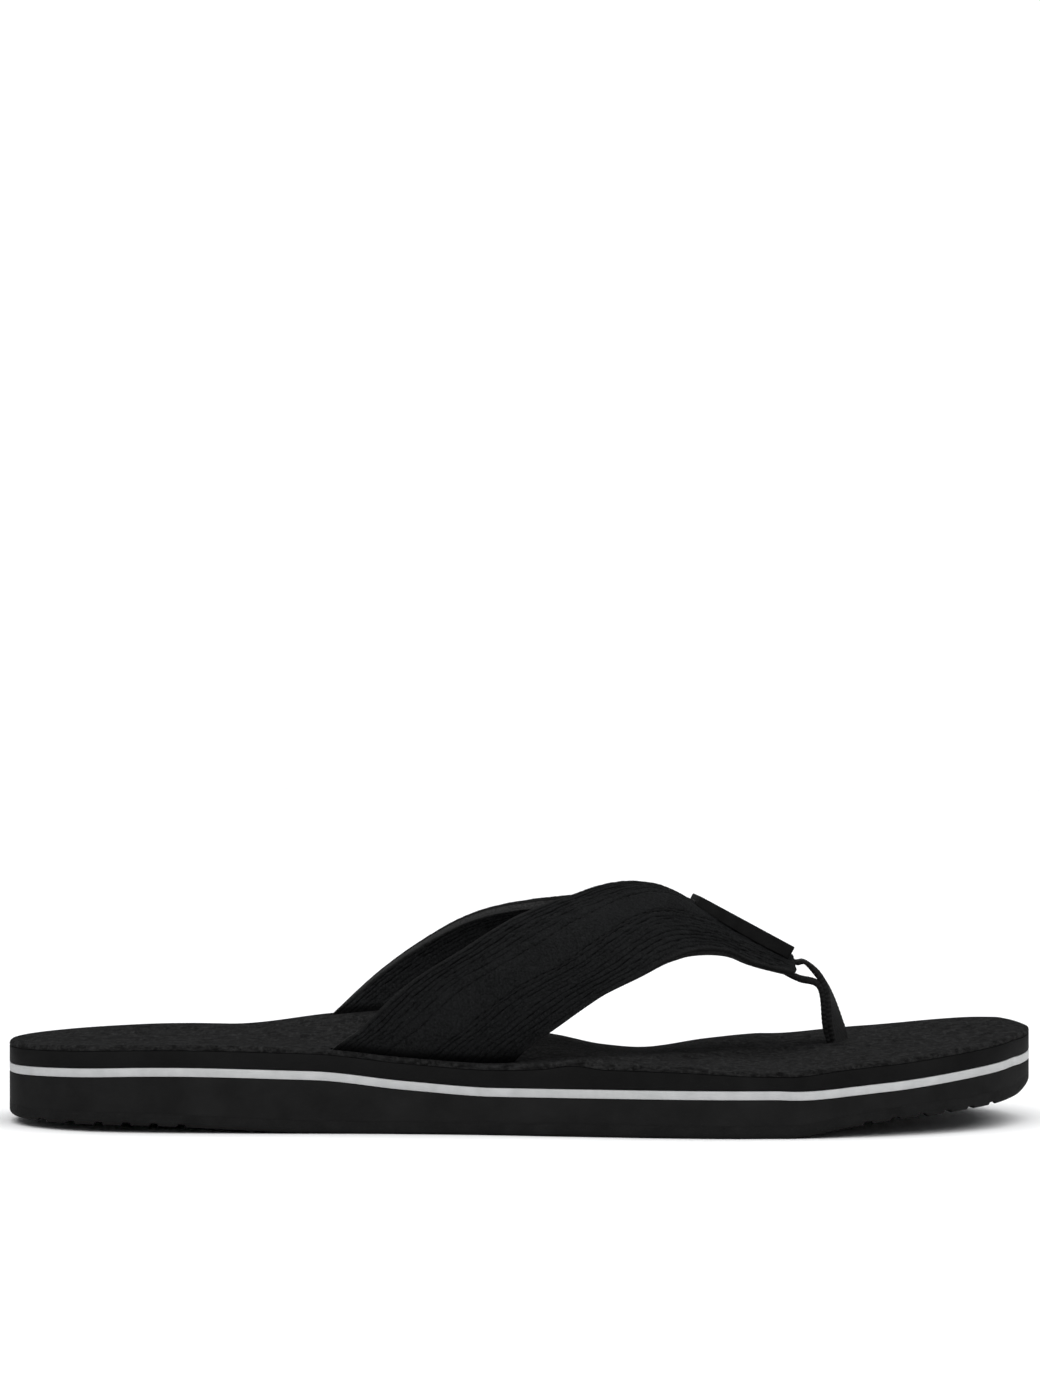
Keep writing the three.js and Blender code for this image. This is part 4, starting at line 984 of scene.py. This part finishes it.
def arm_width(arm, station):
    """Length across a strap, mm."""
    across = np.linspace(0, 1, 24)
    grid = strap_points(arm, *np.meshgrid(station, across, indexing="ij"), upper_top)
    return np.linalg.norm(np.diff(grid, axis=1), axis=2).sum(1)


def arm_columns():
    """Shares across a strap, close together at the stitched lines and at the two edges."""
    near = np.array([-0.0105, -0.007, -0.0045, -0.002, 0, 0.002, 0.0045, 0.007, 0.0105])
    lines = [line + near for line in (*REAR_LINES, *FRONT_LINES)]
    ends = [0, 0.003, 0.007, 0.012, 0.988, 0.993, 0.997, 1]
    spread = np.concatenate([ends, np.linspace(0, 1, 41), *lines])
    spread = np.sort(spread[(spread >= 0) & (spread <= 1)])
    return spread[np.concatenate([[True], np.diff(spread) > 0.0012])]


def line_fade(station):
    """Where the stitched lines are full: 1 on the arm and below the rim, a fifth of that at the tip."""
    return smooth(station, -0.85, -0.6) * (1 - 0.8 * smooth(station, 0.93, 0.99))


def groove_mask(stations, across, width):
    """Up to 1 in the middle of a stitched line and 0 away from it, wavering along the strap."""
    mask = 0 * across
    for k, line in enumerate((*REAR_LINES, *FRONT_LINES)):
        run = stations * 9
        wander = (0.14 * np.sin(run * 5.1 + 2.7 * k) + 0.08 * np.sin(run * 13.3 + 1.3 * k)
                  + 0.05 * np.sin(run * 41 + 5.9 * k))
        strength = (0.62 + 0.3 * np.sin(run * 3.7 + 4.1 * k) * np.sin(run * 8.9 + k)
                    + 0.2 * math.sin(7.3 * k))
        away = (across - line) * width[:, None] + wander[:, None]
        groove = np.clip(strength, 0.15, 1)[:, None] * np.exp(-((away / LINE_WIDTH) ** 2))
        mask = np.maximum(mask, groove)
    return mask * line_fade(stations)[:, None]


def stitched_relief(stations, across, width):
    """Height of the puffed panel less the depth of the stitched lines beside it, mm."""
    panel = PANEL_PUFF * np.clip(1 - ((across - PANEL_MIDDLE) / PANEL_HALF) ** 2, 0, 1)
    return panel * line_fade(stations)[:, None] - LINE_DEPTH * groove_mask(stations, across, width)


def edge_round(across, width, reach, depth):
    """How far a face drops where it nears the strap's edge."""
    away = np.minimum(across, 1 - across) * width[:, None]
    inside = np.clip(1 - away / reach, 0, 1)
    return depth * (1 - np.sqrt(np.clip(1 - inside**2, 0, 1)))


def roughness(points, cell, seed):
    """Smooth noise between -1 and 1 at each point, one value a cell."""
    flat = points.reshape(-1, 3) / cell
    values = [noise.noise(Vector((p[0] + seed, p[1], p[2]))) for p in flat]
    return np.array(values).reshape(points.shape[:-1])


def build_arm(arm):
    name = arm["name"]
    stations = np.concatenate([np.linspace(-3, -1, 9)[:-1], np.linspace(-1, 0, 40)[:-1],
                               np.linspace(0, 1, ARM_ROWS)])
    columns = arm_columns()
    station, across = np.meshgrid(stations, columns, indexing="ij")
    width = arm_width(arm, stations)
    from_edge = np.minimum(across, 1 - across) * width[:, None]
    low = strap_points(arm, station, across, upper_top)
    # The root mark paints shade on the strap over its lowest 0.8 to 3.2 mm above the footbed.
    above = low[..., 2] - cover_top(low[..., 0], 0.5 + 0.45 * arm["side"])
    # The edge mark paints a highlight along both edges of the strap.
    marks = {"line": groove_mask(stations, across, width), "edge": 1 - smooth(from_edge, 0.3, 1.6),
             "root": 1 - smooth(above, 0.8, 3.2)}

    def face(offset, extra=0.0):
        return strap_points(arm, station, across, lambda x: offset(x) + extra)

    top = face(upper_top)
    fuzz = 0.12 * roughness(top, 0.8, 3) + 0.1 * roughness(top, 2.5, 9)
    relief = stitched_relief(stations, across, width) + fuzz - edge_round(across, width, 0.8, 0.4)
    outer = grid_solid(f"{name}_strap_upper", face(upper_bottom), face(upper_top, relief), 50, marks)
    add_piece(f"{name}_strap_textile", outer, UPPER, [f"{name}_strap_upper"])

    dent = 0.5 * (stitched_relief(stations, across, width) + fuzz) - edge_round(across, width, 0.5, 0.3)
    lining = grid_solid(f"{name}_strap_lining", face(lambda x: 0 * x, -dent), face(lining_top),
                        50, marks)
    add_piece(f"{name}_strap_inner", lining, LINING, [f"{name}_strap_lining"])

    kept = stations[(stations > -0.67) & (stations < 0.75)]
    station, across = np.meshgrid(kept, columns[::4], indexing="ij")
    foam = grid_solid(f"{name}_strap_padding", face(padding_bottom), face(padding_top), 50)
    pad = add_piece(f"{name}_strap_pad", foam, PADDING, [f"{name}_strap_padding"])


def stitch_row(arm, line, start, end, offset, points, faces):
    """Adds one row of thread stitches along a strap."""
    dense = np.linspace(start, end, 500)
    path = strap_points(arm, dense, line + 0 * dense, offset)
    length = np.concatenate([[0], np.cumsum(np.linalg.norm(np.diff(path, axis=0), axis=1))])
    turns = np.linspace(0, 2 * np.pi, 6, endpoint=False)
    steps = np.linspace(0, 1, 7)
    for begin in np.arange(0.4, length[-1] - STITCH_PITCH, STITCH_PITCH):
        at = np.interp(begin + steps * STITCH_LENGTH, length, dense)
        centre = strap_points(arm, at, line + 0 * at, offset)
        along = unit(np.gradient(centre, axis=0))
        place = at * LAST_EDGE_POINT
        x_angle = spline(arm["back"], place) * (1 - line) + spline(arm["front"], place) * line
        normal = form_normal(x_angle[:, 0], x_angle[:, 1])
        side = np.cross(along, normal)
        arch = np.sin(np.pi * steps) ** 0.5
        centre = centre + normal * (0.14 * arch - 0.1)[:, None]
        thick = THREAD_RADIUS * (0.35 + 0.65 * arch)
        first = len(points)
        for k in range(len(steps)):
            circle = np.outer(np.cos(turns), normal[k]) + np.outer(np.sin(turns), side[k])
            points.extend(centre[k] + thick[k] * circle)
        faces += tube_faces(first, len(steps), len(turns))


def build_stitching(arm, end_name, lines, start, end):
    points, faces = [], []
    for line in lines:
        if line in STITCHED_LINES:
            stitch_row(arm, line, start, end, lambda x: upper_top(x) - LINE_DEPTH + 0.1, points, faces)
    mesh = make_mesh(f"{arm['name']}_stitches_{end_name}", np.array(points), faces, 60)
    add_piece(f"{arm['name']}_stitches_{end_name}", mesh, THREAD,
              [f"{arm['name']}_strap_stitching_{end_name}"])


# ---------------------------------------------------------------- outsole with its tread
# A groove's section: shares of its width and of its depth, where a depth of 0 is below the ground.
GROOVE_SECTION = ((-0.5, 0), (0.5, 0), (0.5, 0.35), (0.4, 0.9), (-0.4, 0.9), (-0.5, 0.35))


def groove_end(x, side):
    """Where a groove ends on one side: beyond the rim near the two ends, inside it between them."""
    if abs(x) > TREAD_OPEN_FROM * SOLE_LENGTH:
        return side * 0.6 * FOREFOOT_WIDTH
    border = rim(np.linspace(0, HALF_OUTLINE, 400), side)
    return border[np.argmin(np.abs(border[:, 0] - x)), 1] - side * TREAD_BORDER


def build_outsole():
    levels = rounded(outsole_bottom, OUTSOLE_EDGE, -1, 7) + [(outsole_top, 0, 0.06)]
    blank = layer_mesh("outsole", levels, np.linspace(0, 1, FLAT_COLUMNS))
    count = int(TREAD_SHARE * SOLE_LENGTH / GROOVE_PITCH)
    points, faces = [], []
    for i in range(count):
        middle = (i - (count - 1) / 2) * GROOVE_PITCH
        share = np.linspace(-1, 1, 61)
        outer, inner = groove_end(middle, -1), groove_end(middle, 1)
        y = (outer + inner) / 2 + share * (inner - outer) / 2
        wave = middle + 0.5 * GROOVE_WAVE * np.cos(np.pi * 3 * share)
        first = len(points)
        for j in range(len(y)):
            for side, depth in GROOVE_SECTION:
                x = wave[j] + side * GROOVE_WIDTH
                base = float(outsole_bottom(x)) + GROOVE_DEPTH * depth if depth else -GROOVE_DEPTH
                points.append((x, y[j], base))
        faces += tube_faces(first, len(y), len(GROOVE_SECTION))
    grooves = make_mesh("grooves", np.array(points, float), faces)
    add_piece("outsole_tread", cut_mesh(blank, [grooves]), RUBBER, ["outsole"])


# ---------------------------------------------------------------- badge
def badge_seat():
    """Place and axes of the badge: its length runs down the strap, its underside faces the strap."""
    def highest(x):
        return off_form(np.array(x), np.array(0.0), stack_top(np.array(x)))

    half = BADGE_LENGTH / 2
    x = BADGE_X * SOLE_LENGTH
    rear, front = highest(x - 0.85 * half), highest(x + 0.85 * half)
    pitch = math.atan2(rear[2] - front[2], front[0] - rear[0])
    sideways = float(form_centre(front[0]) - form_centre(rear[0]))
    yaw = 0.5 * math.atan2(sideways, front[0] - rear[0])
    turn = Matrix.Rotation(yaw, 3, "Z") @ Matrix.Rotation(pitch, 3, "Y")
    up = np.array([math.sin(pitch), 0, math.cos(pitch)])
    ahead = np.array([math.cos(pitch), 0, -math.sin(pitch)])
    middle = highest(x)
    reach = -math.inf
    for place in np.arange(x - half, x + half + 0.01, 0.5):
        surface = highest(place)
        along = np.dot(surface - middle, ahead) + (middle[0] - x) / ahead[0]
        if abs(along) <= half:
            reach = max(reach, float(np.dot(surface, up)))
    y = 0.85 * float(form_centre(x))
    z = (reach + BADGE_GAP - x * up[0]) / up[2]
    return Vector((x, y + SIDE_SHIFT, z)) * MM, turn


def badge_seat_cutter():
    """The straps' stack under the badge with the gap over it."""
    middle = BADGE_X * SOLE_LENGTH
    reach = BADGE_LENGTH / 2 + 6
    x, angle = np.meshgrid(np.linspace(middle - reach, middle + reach, 80),
                           np.radians(np.linspace(-55, 55, 90)), indexing="ij")
    return grid_solid("badge_seat_cutter", off_form(x, angle, 0 * x),
                      off_form(x, angle, stack_top(x) + BADGE_GAP))


def build_badge():
    """A plate with eased corners and a skirt that is cut to the strap's shape."""
    centre, turn = badge_seat()
    size = (BADGE_LENGTH * MM, BADGE_WIDTH * MM, (BADGE_THICKNESS + BADGE_SKIRT) * MM)
    work = bmesh.new()
    bmesh.ops.create_cube(work, size=1)
    bmesh.ops.scale(work, vec=Vector(size), verts=work.verts)
    uprights = [e for e in work.edges if abs(e.verts[0].co.z - e.verts[1].co.z) > 0.5 * size[2]]
    bmesh.ops.bevel(work, geom=uprights, offset=BADGE_CORNER * MM, segments=6, affect="EDGES",
                    profile=0.5)
    rims = [e for e in work.edges if min(v.co.z for v in e.verts) > 0.4 * size[2]]
    bmesh.ops.bevel(work, geom=rims, offset=BADGE_EASE * MM, segments=3, affect="EDGES", profile=0.5)
    rise = Matrix.Translation(Vector((0, 0, 0.5 * (BADGE_THICKNESS - BADGE_SKIRT) * MM)))
    bmesh.ops.transform(work, matrix=Matrix.Translation(centre) @ turn.to_4x4() @ rise, verts=work.verts)
    mesh = bpy.data.meshes.new("badge_plate")
    work.to_mesh(mesh)
    work.free()
    seated = finish_mesh(cut_mesh(finish_mesh(mesh, 40), [badge_seat_cutter()]), 40)
    add_piece("badge_face", seated, BADGE, ["badge_plate"])


# ---------------------------------------------------------------- floor, light and camera
EYE_HEIGHT = 0.131
EYE_DISTANCE = 1.2
EYE_TILT = 0.5136
FOCAL_MM = 110.26
SENSOR_MM = 36
FLOOR_REACH = 8
BACKDROP_DISTANCE, BACKDROP_LOW, BACKDROP_HIGH = 3, -0.5, 6
BACKDROP_GLOW = 1.1
SKY_GLOW = 0.3
SUN_ENERGY = 3.4
SUN_SPREAD = 100  # degrees across, so the shadows are soft
SUN_LEAN = (12, 6)


def add_sheet(name, corners, look):
    mesh = bpy.data.meshes.new(name)
    mesh.from_pydata(corners, [], [[0, 1, 2, 3]])
    mesh.materials.append(look.material)
    return add_object(name, mesh)


def set_surroundings():
    look = Nodes("floor_white", 0.9, specular=0.1)
    look.shader.inputs["Base Color"].default_value = (0.93, 0.93, 0.93, 1)
    r = FLOOR_REACH
    floor = add_sheet("floor", [(-r, -r, 0), (r, -r, 0), (r, r, 0), (-r, r, 0)], look)

    glow = Nodes("backdrop_white", 0.9, specular=0.0)
    glow.shader.inputs["Base Color"].default_value = (0, 0, 0, 1)
    glow.shader.inputs["Emission Color"].default_value = (1, 1, 1, 1)
    glow.shader.inputs["Emission Strength"].default_value = BACKDROP_GLOW
    corners = [(-r, BACKDROP_LOW), (r, BACKDROP_LOW), (r, BACKDROP_HIGH), (-r, BACKDROP_HIGH)]
    backdrop = add_sheet("backdrop", [(x, BACKDROP_DISTANCE, z) for x, z in corners], glow)
    backdrop.visible_diffuse = False
    backdrop.visible_glossy = False


def set_light():
    world = bpy.data.worlds.new("studio")
    bpy.context.scene.world = world
    world.use_nodes = True
    background = world.node_tree.nodes["Background"]
    background.inputs["Color"].default_value = (0.95, 0.97, 1, 1)
    background.inputs["Strength"].default_value = SKY_GLOW

    sun = bpy.data.lights.new("softbox", "SUN")
    sun.energy = SUN_ENERGY
    sun.angle = math.radians(SUN_SPREAD)
    holder = add_object("softbox", sun)
    holder.rotation_euler = (math.radians(SUN_LEAN[0]), math.radians(SUN_LEAN[1]), 0)


def set_camera():
    camera = bpy.data.cameras.new("camera")
    camera.lens = FOCAL_MM
    camera.sensor_width = SENSOR_MM
    camera.clip_start = 0.01
    holder = add_object("camera", camera)
    holder.location = (0, -EYE_DISTANCE, EYE_HEIGHT)
    holder.rotation_euler = (math.radians(90 - EYE_TILT), 0, 0)
    bpy.context.scene.camera = holder
    bpy.context.scene.view_settings.view_transform = "Standard"


# ---------------------------------------------------------------- assemble
set_surroundings()
set_light()
set_camera()
build_sole()
build_outsole()
for arm in (LATERAL_ARM, MEDIAL_ARM):
    build_arm(arm)
build_stitching(LATERAL_ARM, "rear", REAR_LINES, 0.0, 0.93)
build_stitching(LATERAL_ARM, "front", FRONT_LINES, 0.0, 0.93)
build_stitching(MEDIAL_ARM, "rear", REAR_LINES, 0.0, 0.42)
build_stitching(MEDIAL_ARM, "front", FRONT_LINES, 0.0, 0.5)
build_webbing()
build_badge()
for node, look in (("toe_post_anchor", ANCHOR),
                   ("badge_rivet_rear", NICKEL), ("badge_rivet_front", NICKEL),
                   ("badge_washer_rear", NICKEL), ("badge_washer_front", NICKEL)):
    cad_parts[node].data.materials.clear()
    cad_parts[node].data.materials.append(look)
